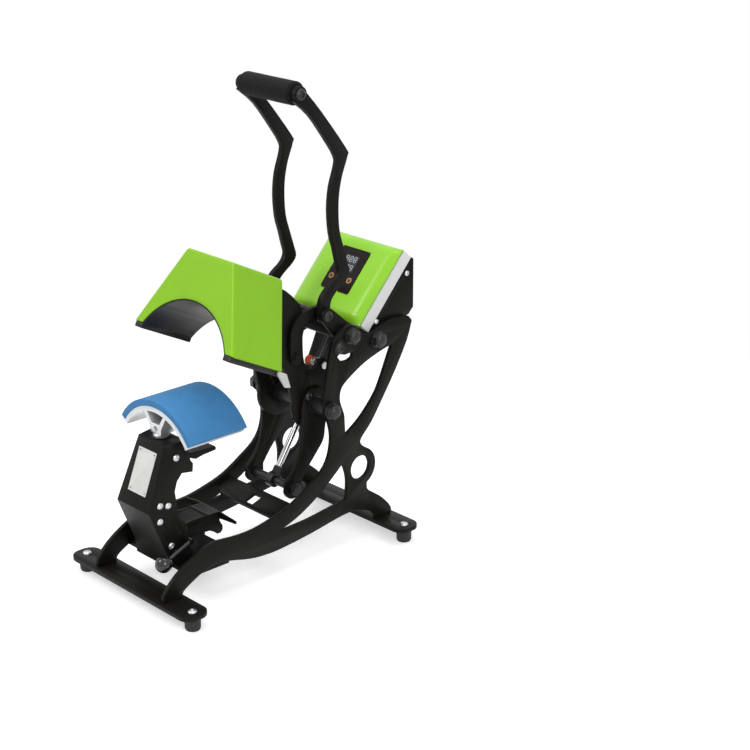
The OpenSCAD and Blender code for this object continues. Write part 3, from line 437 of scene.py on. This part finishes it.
def make_finishes():
    """Every material of the press, by a short name."""
    c = bpy.context.scene.press_colours
    return {
        # Polyester powder coat on cut plate: a fine pebbled skin with a soft sheen
        "powder": surface("powder_coated_steel", c.powder_black, drift=0.05, grain_mm=1.1, grain_depth=0.03,
                          rough=(0.36, 0.5), specular=0.11, specks=0.05),
        "handle": surface("powder_coated_handle", c.handle_black, grain_mm=1.0, grain_depth=0.03,
                          rough=(0.38, 0.52), specular=0.11, specks=0.04),
        # Sprayed enamel on folded sheet: even colour under a thin clear gloss, with slow orange peel
        "enamel": surface("sprayed_enamel", c.cover_green, drift=0.012, grain_mm=3.5, grain_depth=0.012,
                          rough=(0.3, 0.36), specular=0.3, coat=0.1, coat_rough=0.12),
        # Injection-moulded ABS: even colour and a low gloss
        "shell": surface("moulded_abs_green", c.shell_green, drift=0.006, grain_mm=3.0, grain_depth=0.0015,
                         rough=(0.28, 0.3), specular=0.4, coat=0.12),
        "trim": surface("moulded_abs_grey", c.trim_grey, drift=0.01, grain_mm=0.8, grain_depth=0.01,
                        rough=(0.4, 0.48)),
        # Cast silicone rubber: matt, faintly mottled, with fine pores
        "silicone": surface("cast_silicone_rubber", c.pad_blue, drift=0.035, drift_mm=14, grain_mm=1.4,
                            grain_depth=0.05, rough=(0.62, 0.75), voronoi=True),
        # Extruded aluminium: fine die lines along Y
        "extrusion": surface("extruded_aluminium", "#d5d7d9", drift=0.02, grain_mm=0.9,
                             stretch=(1, 0.02, 1), rough=(0.32, 0.5), metallic=1.0),
        # Ground and turned steel: rings round the X axis
        "ground": surface("ground_steel_shaft", "#a5a7a9", drift=0.03, grain_mm=0.7, grain_depth=0.012,
                          stretch=(1, 0.05, 0.05), rough=(0.25, 0.4), metallic=1.0),
        "post": surface("turned_steel_post", "#a5a7a9", drift=0.03, grain_mm=0.7, grain_depth=0.012,
                        stretch=(0.05, 0.05, 1), rough=(0.28, 0.42), metallic=1.0),
        # Zinc plating on cold-headed screws: a faint haze
        "zinc": surface("zinc_plated_screw", "#cdced0", drift=0.05, drift_mm=6, grain_mm=0.5,
                        grain_depth=0.01, rough=(0.26, 0.4), metallic=1.0),
        # Black oxide on nuts and spacers: oily and half dull
        "oxide": surface("black_oxide_steel", "#2b2a2a", drift=0.06, drift_mm=8, rough=(0.3, 0.46),
                         metallic=0.35),
        "chrome": surface("hard_chrome_rod", "#dfe0e2", drift=0.01, grain_mm=0.5, grain_depth=0.002,
                          rough=(0.08, 0.16), metallic=1.0),
        # Fluoropolymer coat on cast aluminium: grey-black with a soft even shine
        "coating": surface("fluoropolymer_coating", "#201f20", drift=0.05, drift_mm=30, grain_mm=0.9,
                           grain_depth=0.015, rough=(0.3, 0.42), specular=0.3),
        # Nitrile foam: closed cells with a matt skin
        "foam": surface("nitrile_foam", "#141313", drift=0.05, drift_mm=10, grain_mm=1.3, grain_depth=0.12,
                        rough=(0.72, 0.88), specular=0.15, sheen=0.04, voronoi=True),
        "rubber": surface("moulded_rubber", "#171716", drift_mm=10, grain_mm=0.8, grain_depth=0.03,
                          rough=(0.6, 0.74)),
        "phenolic": surface("phenolic_resin", "#151515", drift=0.02, drift_mm=20, grain_mm=3.0,
                            grain_depth=0.004, rough=(0.12, 0.2), coat=0.2),
        "nylon": surface("glass_filled_nylon", "#1b1b1b", grain_mm=0.7, rough=(0.42, 0.55)),
        "orange": surface("moulded_orange_nylon", c.signal_orange, drift=0.03, drift_mm=6, grain_mm=0.8,
                          grain_depth=0.01, rough=(0.3, 0.4)),
        "ink": surface("printed_ring", c.ring_gold, drift=0.03, drift_mm=6, grain_mm=0.8, grain_depth=0.004,
                       rough=(0.3, 0.4)),
        "board": surface("mica_board", "#dad9d2", drift=0.05, drift_mm=7, grain_mm=1.2, grain_depth=0.06,
                         rough=(0.6, 0.75)),
        "film": surface("printed_polyester_film", "#1a1210", drift=0.12, drift_mm=18, grain_depth=0.004,
                        rough=(0.2, 0.28), specular=0.12, coat=0.05),
        "glass": surface("display_glass", "#34363a", drift=0.08, drift_mm=12, grain_mm=0.8, grain_depth=0.002,
                         rough=(0.1, 0.16), specular=0.2, coat=0.1),
        "digits": surface("display_segments", "#c9ccd2", drift=0.02, grain_depth=0.0, rough=(0.3, 0.35)),
        "rocker": surface("red_polycarbonate", "#a8281f", drift=0.03, grain_mm=0.8, grain_depth=0.006,
                          rough=(0.18, 0.26)),
        "button": surface("button_cap", "#2c1d17", drift_mm=5, grain_depth=0.01, rough=(0.35, 0.45)),
        "vinyl": surface("white_vinyl", "#dfdfdb", drift=0.02, drift_mm=16, grain_mm=0.9, grain_depth=0.004,
                         rough=(0.3, 0.38)),
        "brass": surface("plated_brass_pin", "#c9a65a", drift_mm=5, grain_mm=0.5, grain_depth=0.004,
                         rough=(0.2, 0.3), metallic=1.0),
    }


FINISHES = {}
WORN_BY = {
    "powder": ("side_plate_left", "side_plate_right", "front_foot_bar", "rear_foot_bar", "base_plate",
               "mid_cross_plate", "stand_shell", "bill_support", "head_back_plate", "arm_plate_left",
               "arm_plate_right", "tail_plates", "toggle_links", "crank_plates", "handle_tube",
               "controller_box", "hold_down_bail"),
    "handle": ("handle_arm_left", "handle_arm_right"),
    "rubber": ("rubber_feet",),
    "zinc": ("foot_screws", "stand_screws", "box_screws", "adjuster_knob"),
    "ground": ("main_shaft", "handle_shaft", "strut_shaft", "grip_rod"),
    "post": ("post_ring", "platen_post"),
    "oxide": ("link_shaft", "shaft_spacers", "shaft_nuts", "plate_bolts", "pivot_tube", "tail_shaft",
              "arm_bolts", "grip_bolts", "strut_cylinder"),
    "extrusion": ("platen_extrusion",),
    "silicone": ("silicone_pad",),
    "enamel": ("head_cover",),
    "coating": ("heater_saddle",),
    "board": ("heat_shield_tab",),
    "orange": ("adjuster_cap",),
    "ink": ("button_rings",),
    "chrome": ("strut_rod",),
    "foam": ("foam_grip",),
    "trim": ("controller_trim",),
    "shell": ("controller_cover",),
    "film": ("display_panel",),
    "glass": ("display_window",),
    "button": ("button_up", "button_down"),
    "nylon": ("power_inlet", "switch_bezel", "fuse_holder"),
    "rocker": ("power_switch",),
    "phenolic": ("lever_and_ball",),
    "vinyl": ("stand_plate",),
}
FINISH_OF = {node: finish for finish, nodes in WORN_BY.items() for node in nodes}


class PRESS_OT_finishes(bpy.types.Operator):
    """Make the finishes and put one on every node of the frame"""
    bl_idname = "press.finishes"
    bl_label = "Finishes"

    def execute(self, context):
        FINISHES.update(make_finishes())
        for node, finish in FINISH_OF.items():
            wear(NODES[node], finish)
        return {"FINISHED"}


# Width in millimetres over which the edges of a node are rounded
EASED = {"side_plate_left": 0.6, "side_plate_right": 0.6, "front_foot_bar": 0.7, "rear_foot_bar": 0.7,
         "arm_plate_left": 0.6, "arm_plate_right": 0.6, "tail_plates": 0.5, "toggle_links": 0.6,
         "handle_arm_left": 1.2, "handle_arm_right": 1.2, "crank_plates": 0.6,
         "hold_down_bail": 0.4, "mid_cross_plate": 0.4,
         "base_plate": 0.4, "shaft_nuts": 0.6, "heater_saddle": 0.8, "platen_extrusion": 0.5,
         "head_back_plate": 0.4}


class PRESS_OT_plates(bpy.types.Operator):
    """Round over the cut edges of the plates, so that they catch the light as coated steel does"""
    bl_idname = "press.plates"
    bl_label = "Plates with eased edges"

    def execute(self, context):
        for node, width in EASED.items():
            fit(softened(node, width), node)
        return {"FINISHED"}


class PRESS_OT_stand(bpy.types.Operator):
    """Narrow the stand's front and lean it back to its top, and hang the bill support behind it"""
    bl_idname = "press.stand"
    bl_label = "Stand and bill support"

    def execute(self, context):
        p = context.scene.press_stand

        def lean_back(points, taper):
            """The share up the front, times a nearness that falls from one on the front to nought a fold's
            depth behind it, is how much of the further lean and of the taper a point gets."""
            x, y, z = points.T
            up = np.clip((z - p.fold_z) / p.rise, 0, 1)
            behind = y - p.fold_y - up * p.run - p.skin
            share = up * np.clip(1 - behind / p.depth, 0, 1)
            return triples(x * (1 - taper * share), y + p.lean * share, z)

        shell = softened("stand_shell", 0.7, lambda points: lean_back(points, p.taper))
        fit(shell, "stand_shell")
        plate = softened("stand_plate", 0.1, lambda points: lean_back(points, 0) - (p.plate_shift, 0, 0))
        fit(plate, "stand_plate")

        # The support is a channel: a bent sheet whose two flanges hang deepest behind the stand. Its path
        # is given by Y and Z in millimetres, and the flanges' depth by the share of the way along it
        path = np.array([(-131.25, 184.0), (-127.5, 183.8), (-124.5, 177.0), (-120.0, 166.0),
                         (-112.0, 160.8), (-92.0, 158.8), (-72.8, 158.4)])
        for _ in range(4):
            # Corner cutting: each side gives the points a quarter and three quarters along it
            cut = np.stack([0.75 * path[:-1] + 0.25 * path[1:], 0.25 * path[:-1] + 0.75 * path[1:]], axis=1)
            path = np.concatenate([path[:1], cut.reshape(-1, 2), path[-1:]])
        path, along = evenly(path, 90)
        slope = np.gradient(path, along, axis=0)
        below = np.stack([slope[:, 1], -slope[:, 0]], axis=1)
        depth = np.interp(along / along[-1], (0, 0.2, 0.45, 0.6, 0.75, 1), (1.2, 1.6, 3.4, 6.4, 3.6, 2.0))
        half, bend = p.bill_half / MM, 1.0
        turn = np.radians(np.linspace(0, 90, 5))
        side = np.concatenate([half - bend * (1 - np.sin(turn)), [half, half]])
        drop = np.concatenate([bend * (1 - np.cos(turn)), [bend, bend]])
        share = np.concatenate([np.zeros(5), [0.5, 1.0]])
        across = np.concatenate([-side[::-1], side])
        share = np.concatenate([share[::-1], share])
        down = np.concatenate([drop[::-1], drop]) + share * depth[:, None]
        flat = path[:, None] + below[:, None] * down[..., None]
        points = triples(across, flat[..., 0], flat[..., 1]) * MM
        piece = skin("bill_support_channel", points, outward=False)
        modify(piece, "Sheet", "SOLIDIFY", thickness=p.bill_sheet, offset=0.0)
        fit(piece, "bill_support")
        return {"FINISHED"}


class PRESS_OT_head_cover(bpy.types.Operator):
    """Fold the green cover of the head from one sheet, with its arched front"""
    bl_idname = "press.head_cover"
    bl_label = "Head cover"

    def execute(self, context):
        p = context.scene.press_head
        low, top, high, depth, fold, round_off, arch_r, drop = (v / MM for v in (
            p.half_low, p.half_top, p.height, p.depth, p.fold, p.corner, p.arch_radius, p.arch_drop))
        count = 241
        # The outline runs up the left flank, across the top and down the right flank, with round corners
        lean = (low - top) / high

        def outline(inset):
            """The trapezoid moved in by inset, with quadratic curves for its corners."""
            slant = inset * math.sqrt(1 + lean * lean)
            corners = np.array([[-low + slant, 0.0], [-(top + lean * inset) + slant, high - inset],
                                [(top + lean * inset) - slant, high - inset], [low - slant, 0.0]])
            path = [corners[0]]
            for before, here, after in zip(corners, corners[1:], corners[2:]):
                back = here + (before - here) / np.linalg.norm(before - here) * round_off
                ahead = here + (after - here) / np.linalg.norm(after - here) * round_off
                t = np.linspace(0, 1, 9)[:, None]
                path.extend((1 - t) ** 2 * back + 2 * t * (1 - t) * here + t ** 2 * ahead)
            path.append(corners[3])
            return evenly(np.array(path), count)[0]

        rows = [(outline(0), deep) for deep in np.linspace(depth, fold, 12)]
        for turn in np.radians([18, 36, 54, 72, 90]):
            rows.append((outline(fold * (1 - math.cos(turn))), fold * (1 - math.sin(turn))))
        reach = math.acos(drop / arch_r)
        angle = np.linspace(-reach, reach, count)
        arch = np.stack([arch_r * np.sin(angle), arch_r * np.cos(angle) - drop], axis=1)
        rim = outline(fold)
        for t in np.linspace(0.1, 1, 10):
            rows.append((rim * (1 - t) + arch * t, 0.0))
        points = np.stack([in_head(flat[:, 0], deep, flat[:, 1]) for flat, deep in rows])
        piece = skin("head_cover_sheet", points, sharp=60, outward=False)
        modify(piece, "Sheet", "SOLIDIFY", thickness=p.sheet, offset=-1.0, use_even_offset=True)
        modify(piece, "Cut edge", "BEVEL", width=0.4 * MM, segments=2, limit_method="ANGLE",
               angle_limit=math.radians(50))
        fit(piece, "head_cover")
        return {"FINISHED"}


class PRESS_OT_controller_cover(bpy.types.Operator):
    """Mould the crowned green cover of the controller, with a seat for its panel"""
    bl_idname = "press.controller_cover"
    bl_label = "Controller cover"

    def execute(self, context):
        p = context.scene.press_controller
        half, long, start, crown, side, end, wide, low, high = (v / MM for v in (
            p.half_width, p.length, p.overhang, p.crown, p.rise_side, p.rise_end, p.panel_half,
            p.panel_low, p.panel_high))
        lip, draft = 0.3, 0.004
        x = np.concatenate([np.linspace(-half, half, 81), [-wide - lip, -wide, wide, wide + lip]])
        v = np.concatenate([np.linspace(-start, long - start, 81), [low - lip, low, high, high + lip]])
        x, v = np.unique(x), np.unique(v)
        grid_x, grid_v = np.meshgrid(x, v, indexing="ij")

        def step(distance, width):
            """Rises from nought at an edge to one at the width: one less the rest of the way to a power."""
            return 1 - (1 - np.clip(distance / width, 0, 1)) ** 2.2

        # Height: the crown times a step from each side and a step from each end, and flat in the seat
        to_end = np.minimum(grid_v + start, long - start - grid_v)
        height = crown * step(half - np.abs(grid_x), side) * step(to_end, end)
        seat = (np.abs(grid_x) <= wide) & (grid_v >= low) & (grid_v <= high)
        height = np.where(seat, crown - p.seat / MM, height)
        top = on_cover(grid_x, grid_v, height)
        # The skirt hangs from the rim and draws in a little as it drops
        lower = [on_cover(grid_x * (1 - draft * drop), grid_v, -drop) for drop in (1.0, 3.0)]
        rim = np.concatenate([np.arange(len(v)), np.arange(1, len(x)) * len(v) + len(v) - 1,
                              (len(x) - 1) * len(v) + np.arange(len(v) - 2, -1, -1),
                              np.arange(len(x) - 2, 0, -1) * len(v)])
        flat = top.reshape(-1, 3)
        skirt = np.stack([flat[rim]] + [ring.reshape(-1, 3)[rim] for ring in lower])
        faces = np.concatenate([grid_faces(len(x), len(v)),
                                grid_faces(3, len(rim), loop_columns=True) + len(flat)])
        every = np.concatenate([flat, skirt.reshape(-1, 3)])
        piece = new_piece("controller_shell", every, faces, sharp=40)
        modify(piece, "Wall", "SOLIDIFY", thickness=1.6 * MM, offset=-1.0)
        fit(piece, "controller_cover")

        # End walls between the trims: a rounded section carried across, bowed out as a cosine of the place
        across = np.linspace(-1, 1, 25)[:, None]
        thick, blend, below, short, bulge = 2.4, 0.8, 1.0, 0.6, 0.6
        tall = p.trim_depth / MM - short
        section = rounded_rectangle(thick, tall, blend, 5)
        for name, place, bow in (("low", start, -bulge), ("top", long - start - thick / 2, bulge)):
            v = place + section[:, 0] + bow * np.cos(across * math.pi / 2)
            ends = on_cover(across * p.trim_gap / MM, v, section[:, 1] - below - tall / 2)
            fit(closed_tube("controller_end_" + name, ends), "controller_cover")

        def deepen(points):
            """Points on the line between trim and box, a trim's depth off the slope, sink square to it."""
            x, y, z = points.T
            off = (z - p.foot_z) * math.cos(p.slope) - (y - p.foot_y) * math.sin(p.slope)
            near = 0.6 * MM
            sink = np.where(np.abs(off + p.trim_depth) < near, p.trim_sink, 0)
            return triples(x, y + sink * math.sin(p.slope), z - sink * math.cos(p.slope))

        for node, width in (("controller_box", 0.4), ("controller_trim", 1.0)):
            fit(softened(node, width, deepen), node)
        return {"FINISHED"}


class PRESS_OT_pad(bpy.types.Operator):
    """Cast the blue pad: an arched slab with softly rounded edges"""
    bl_idname = "press.pad"
    bl_label = "Silicone pad"

    def execute(self, context):
        p = context.scene.press_platen
        low, high, middle = (v[1] / MM for v in corners("silicone_pad"))
        thick, edge, length = p.pad_thick / MM, p.edge / MM, high - low
        ring = rounded_rectangle(length, thick, edge, 5)
        # By angle round the arch; over the last edge radius of arc the section shrinks as a quarter circle
        spare = p.edge / p.pad_radius
        tip = p.half_arc - spare * (1 - np.sin(np.radians(np.linspace(0, 90, 5))))
        plain = np.linspace(-p.half_arc + spare, p.half_arc - spare, 111)[1:-1]
        angles = np.concatenate([-tip[::-1], plain, tip])
        sections = []
        for a in angles:
            short = max(edge - (p.half_arc - abs(a)) * p.pad_radius / MM, 0.0)
            inset = edge - math.sqrt(max(edge ** 2 - short ** 2, 0.0))
            shrunk = ring * np.array([(length - 2 * inset) / length, (thick - 2 * inset) / thick])
            radius = p.pad_radius / MM - thick / 2 + shrunk[:, 1]
            sections.append(triples(radius * math.sin(a), middle + shrunk[:, 0],
                                    p.centre_z / MM + radius * math.cos(a)))
        fit(closed_tube("silicone_pad_cast", np.array(sections) * MM, sharp=50), "silicone_pad")
        return {"FINISHED"}


class PRESS_OT_grip(bpy.types.Operator):
    """Slide the foam sleeve over the handle's cross bar, with rounded ends"""
    bl_idname = "press.grip"
    bl_label = "Foam grip"

    def execute(self, context):
        low, high, middle = corners("foam_grip")
        radius, half = (high[2] - low[2]) / 2, (high[0] - low[0]) / 2
        end = 4.0 * MM
        turn = np.radians(np.linspace(0, 90, 9))
        outer = [(-half + end * (1 - math.sin(a)), radius - end * (1 - math.cos(a))) for a in turn[::-1]]
        span = np.linspace(-half + end, half - end, 60)
        waist = 0.125 * MM
        swell = [(s, radius - waist * math.cos(s / half * math.pi) ** 2) for s in span[1:-1]]
        bore = 8.06 * MM
        profile = [(-half, bore)] + outer + swell + [(-s, r) for s, r in outer[::-1]] + [(half, bore)]
        points = turned(middle, (1, 0, 0), profile, 72)
        fit(skin("foam_sleeve", points, loop_rows=True, loop_columns=True), "foam_grip")
        return {"FINISHED"}


class PRESS_OT_post(bpy.types.Operator):
    """Cut the thread of the platen's post and knurl its lock ring"""
    bl_idname = "press.post"
    bl_label = "Threaded post and lock ring"

    def execute(self, context):
        p = context.scene.press_platen
        low, high, middle = corners("platen_post")
        radius = (high[0] - low[0]) / 2
        # Radius: the crest less a triangle wave of the height over the pitch, turned once per pitch
        turn = full_turn(48)
        rise = np.append(np.arange(low[2], high[2], p.pitch / 10), high[2])
        phase = (rise[:, None] / p.pitch - turn[None] / (2 * math.pi)) % 1.0
        deep = 0.55 * p.pitch
        runout = np.clip((high[2] - rise[:, None]) / p.pitch, 0, 1)
        r = radius - deep * (1 - np.abs(2 * phase - 1)) * runout
        points = around(*middle[:2], r, rise[:, None])
        fit(closed_tube("threaded_post", points, sharp=80), "platen_post")

        low, high, middle = corners("post_ring")
        radius, tall = p.ring, high[2] - low[2]
        teeth, notch = 36, 0.25 * MM
        wave = notch * (0.5 - 0.5 * np.cos(full_turn(8 * teeth) * teeth))
        bore, below, above = 7.1 * MM, 0.8 * MM, 1.6 * MM
        # Each row of the profile: the height, the radius, and whether the knurl cuts it
        profile = ((0, bore, 0), (0, radius - below, 0), (below, radius, 1), (tall - above, radius, 1),
                   (tall, radius - above, 0), (tall, bore, 0))
        rise, edge, cut = np.array(profile).T[..., None]
        points = around(*middle[:2], edge - wave * cut, low[2] + rise)
        fit(skin("knurled_ring", points, loop_rows=True, loop_columns=True), "post_ring")
        return {"FINISHED"}


class PRESS_OT_strut(bpy.types.Operator):
    """Turn the gas strut's polished rod, with its dark eye and lock nut"""
    bl_idname = "press.strut"
    bl_label = "Strut rod"

    def execute(self, context):
        p = context.scene.press_strut
        foot = np.array((0.0, p.foot_y, p.foot_z))
        along = np.array((0.0, math.cos(p.slope), math.sin(p.slope)))
        soft = 0.5 * MM
        rod = turned(foot, along, [(p.eye - MM, p.rod), (p.reach - soft, p.rod), (p.reach, p.rod - soft)])
        fit(closed_tube("strut_rod_polished", rod), "strut_rod")
        eye = turned(foot, (1, 0, 0), [(-p.half, p.bore), (-p.half, p.eye - soft), (soft - p.half, p.eye),
                                       (p.half - soft, p.eye), (p.half, p.eye - soft), (p.half, p.bore)])
        ring = skin("strut_rod_eye", eye, loop_rows=True, loop_columns=True)
        fit(ring, "strut_rod", "oxide")
        # Radius of the nut: half its width across flats, over the cosine of the angle from a flat's middle,
        # cut by a cone at each end
        turn = full_turn(96)
        flat = p.nut * math.cos(math.pi / 6)
        hexagon = flat / np.cos((turn + math.pi / 6) % (math.pi / 3) - math.pi / 6)
        side, up = np.array((1.0, 0.0, 0.0)), np.cross(along, (1.0, 0.0, 0.0))
        spoke = np.cos(turn)[:, None] * side + np.sin(turn)[:, None] * up
        rows = []
        for rise, cone in ((0, flat), (soft, p.nut), (p.nut_height - soft, p.nut), (p.nut_height, flat)):
            r = np.minimum(hexagon, cone)[:, None]
            rows.append(foot + along * (p.nut_foot + rise) + r * spoke)
        nut = closed_tube("strut_rod_nut", np.array(rows), sharp=25)
        fit(nut, "strut_rod", "oxide")
        return {"FINISHED"}


class PRESS_OT_adjuster_cap(bpy.types.Operator):
    """Mould the orange cap of the adjuster, with finger grooves and a domed end"""
    bl_idname = "press.adjuster_cap"
    bl_label = "Adjuster cap"

    def execute(self, context):
        _, high, middle = corners("adjuster_cap")
        radius, length, dome, edge = 6.2 * MM, 10.5 * MM, 4.0 * MM, 0.5 * MM
        grooves, share = 8, 0.06
        turn = full_turn(96)
        bow = np.radians(np.linspace(0, 84, 9))
        rise = np.concatenate([[0, edge], length - dome + dome * np.sin(bow)])
        r = np.concatenate([[radius - edge, radius], radius * np.cos(bow)])
        # Radius: the profile less shallow cosine grooves, which die out over the dome
        groove = share * (0.5 - 0.5 * np.cos(grooves * turn)) ** 3
        r = r[:, None] * (1 - groove * (r / radius)[:, None])
        # Made round a vertical line; the roll of the coordinates lays it along X
        points = np.roll(around(*middle[1:], r, high[0] - rise[:, None]), 1, axis=-1)
        fit(closed_tube("adjuster_cap_moulded", points, sharp=50), "adjuster_cap")
        return {"FINISHED"}


class PRESS_OT_small_parts(bpy.types.Operator):
    """Add the inlet's pins and the segments of the unlit display"""
    bl_idname = "press.small_parts"
    bl_label = "Pins and display segments"

    def execute(self, context):
        _, high, (x, _, z) = corners("power_inlet")
        for number, (dx, dz) in enumerate(((-6.5, -1.5), (0.0, 2.5), (6.5, -1.5))):
            section = rounded_rectangle(2.0, 5.0, 0.8, 4) * MM
            # A pin's foot, the start of its chamfer and its tip: the distance from the face, and the scale
            stations = ((14 * MM, 1.0), (4.6 * MM, 1.0), (4 * MM, 0.7))
            points = np.stack([triples(x + dx * MM + section[:, 0] * s, high[1] - d,
                                       z + dz * MM + section[:, 1] * s) for d, s in stations])
            pin = closed_tube("inlet_pin_%d" % number, points)
            fit(pin, finish="brass", body="frame")
        # Each bar: its middle across and up the slope, its width and its height
        bars = []
        for v in (61.0, 72.0):
            for digit in (-6.6, 0.0, 6.6):
                bars += [(digit, v + rise, 3.2, 0.8) for rise in (3.4, 0.0, -3.4)]
                bars += [(digit + side, v + rise, 0.8, 2.4) for rise in (1.7, -1.7) for side in (-2, 2)]
        points, faces = [], []
        corner = np.array([[-1, -1], [1, -1], [1, 1], [-1, 1]])
        for cx, cv, w, h in bars:
            flat = np.array([cx, cv]) + corner * np.array([w, h]) / 2
            start = len(points) * 8
            both = [on_cover(flat[:, 0], flat[:, 1], off) for off in (6.35, 6.5)]
            points.append(np.concatenate(both))
            walls = [(i, (i + 1) % 4, (i + 1) % 4 + 4, i + 4) for i in range(4)]
            faces += [[start + i for i in quad] for quad in [(3, 2, 1, 0), (4, 5, 6, 7)] + walls]
        piece = new_piece("display_segments", np.concatenate(points), np.array(faces), sharp=20)
        fit(piece, finish="digits", body="frame")
        return {"FINISHED"}


class PRESS_OT_studio(bpy.types.Operator):
    """Set the camera at the photograph's angle, with a white floor and soft lamps"""
    bl_idname = "press.studio"
    bl_label = "Studio"

    def execute(self, context):
        scene = context.scene
        scene.view_settings.view_transform = "Standard"
        data = bpy.data.cameras.new("camera")
        data.lens, data.sensor_width, data.clip_end = 84.24, 36.0, 50.0
        camera = placed("camera", data)
        camera.location = (1.481, -1.21575, 0.939)
        camera.rotation_euler = Vector((-0.6795, 0.6448, -0.3502)).to_track_quat("-Z", "Y").to_euler()
        scene.camera = camera

        world = bpy.data.worlds.new("studio")
        scene.world = world
        world.use_nodes = True
        tree = world.node_tree
        back = next(n for n in tree.nodes if n.type == "BACKGROUND")
        power = remap(tree, seen_directly(tree), wanted=(0.55, 1.0))
        tree.links.new(power, back.inputs["Strength"])
        back.inputs["Color"].default_value = (1, 1, 1, 1)

        for name, place, size, watts in (("key", (-0.9, -1.6, 1.9), 1.1, 20.0),
                                         ("fill", (1.9, -0.7, 1.3), 1.2, 16.5),
                                         ("top", (0.1, 0.3, 2.2), 1.4, 12.0)):
            lamp = bpy.data.lights.new(name, "AREA")
            lamp.shape, lamp.size, lamp.energy = "DISK", size, watts
            holder = placed(name, lamp)
            holder.location = place
            holder.rotation_euler = (Vector((0, 0, 0.28)) - Vector(place)).to_track_quat("-Z", "Y").to_euler()

        # The floor is lit like paper near the press, and fades to the white of the backdrop further out
        radii = np.array([0.0, 0.5, 1.0, 2.0, 4.0, 9.0])[:, None]
        points = around(0, 0, np.tile(radii, 96), -0.2 * MM)
        floor = skin("floor", points, loop_columns=True, outward=False)
        material, tree, shader = principled("white_floor")
        place = add(tree, "ShaderNodeTexCoord").outputs["Object"]
        away = add(tree, "ShaderNodeVectorMath", {0: place}, operation="LENGTH").outputs["Value"]
        fade = remap(tree, away, (0.3, 1.1), interpolation_type="SMOOTHSTEP")
        paper = mixed(tree, fade, (0.8, 0.8, 0.8, 1), (0, 0, 0, 1))
        tree.links.new(paper, shader.inputs["Base Color"])
        shader.inputs["Roughness"].default_value = 0.9
        shader.inputs["Specular IOR Level"].default_value = 0.0
        lift = remap(tree, fade, wanted=(0.5, 1.0))
        shown = add(tree, "ShaderNodeMath", {0: lift, 1: seen_directly(tree)}, operation="MULTIPLY")
        glow = add(tree, "ShaderNodeEmission", {"Color": (1, 1, 1, 1), "Strength": shown.outputs["Value"]})
        both = add(tree, "ShaderNodeAddShader", {0: shader.outputs["BSDF"], 1: glow.outputs["Emission"]})
        out = next(n for n in tree.nodes if n.type == "OUTPUT_MATERIAL")
        tree.links.new(both.outputs["Shader"], out.inputs["Surface"])
        floor.data.materials.append(material)
        return {"FINISHED"}


OPERATORS = (PRESS_OT_finishes, PRESS_OT_plates, PRESS_OT_stand, PRESS_OT_head_cover,
             PRESS_OT_controller_cover, PRESS_OT_pad, PRESS_OT_grip, PRESS_OT_post, PRESS_OT_strut,
             PRESS_OT_adjuster_cap, PRESS_OT_small_parts, PRESS_OT_studio)


class PRESS_PT_panel(bpy.types.Panel):
    """Lists the steps that dress the press"""
    bl_idname = "PRESS_PT_panel"
    bl_label = "Heat Press"
    bl_space_type = "VIEW_3D"
    bl_region_type = "UI"
    bl_category = "Heat Press"

    def draw(self, context):
        for operator in OPERATORS:
            self.layout.operator(operator.bl_idname)


GROUPS = {"press_colours": PressColours, "press_head": PressHead, "press_controller": PressController,
          "press_platen": PressPlaten, "press_strut": PressStrut, "press_stand": PressStand}


def register():
    for cls in (*GROUPS.values(), *OPERATORS, PRESS_PT_panel):
        bpy.utils.register_class(cls)
    for name, group in GROUPS.items():
        setattr(bpy.types.Scene, name, bpy.props.PointerProperty(type=group))


def unregister():
    for name in GROUPS:
        delattr(bpy.types.Scene, name)
    for cls in (PRESS_PT_panel, *OPERATORS, *GROUPS.values()):
        bpy.utils.unregister_class(cls)


def main():
    register()
    for operator in OPERATORS:
        getattr(bpy.ops.press, operator.bl_idname.split(".")[1])()


if __name__ == "__main__":
    main()
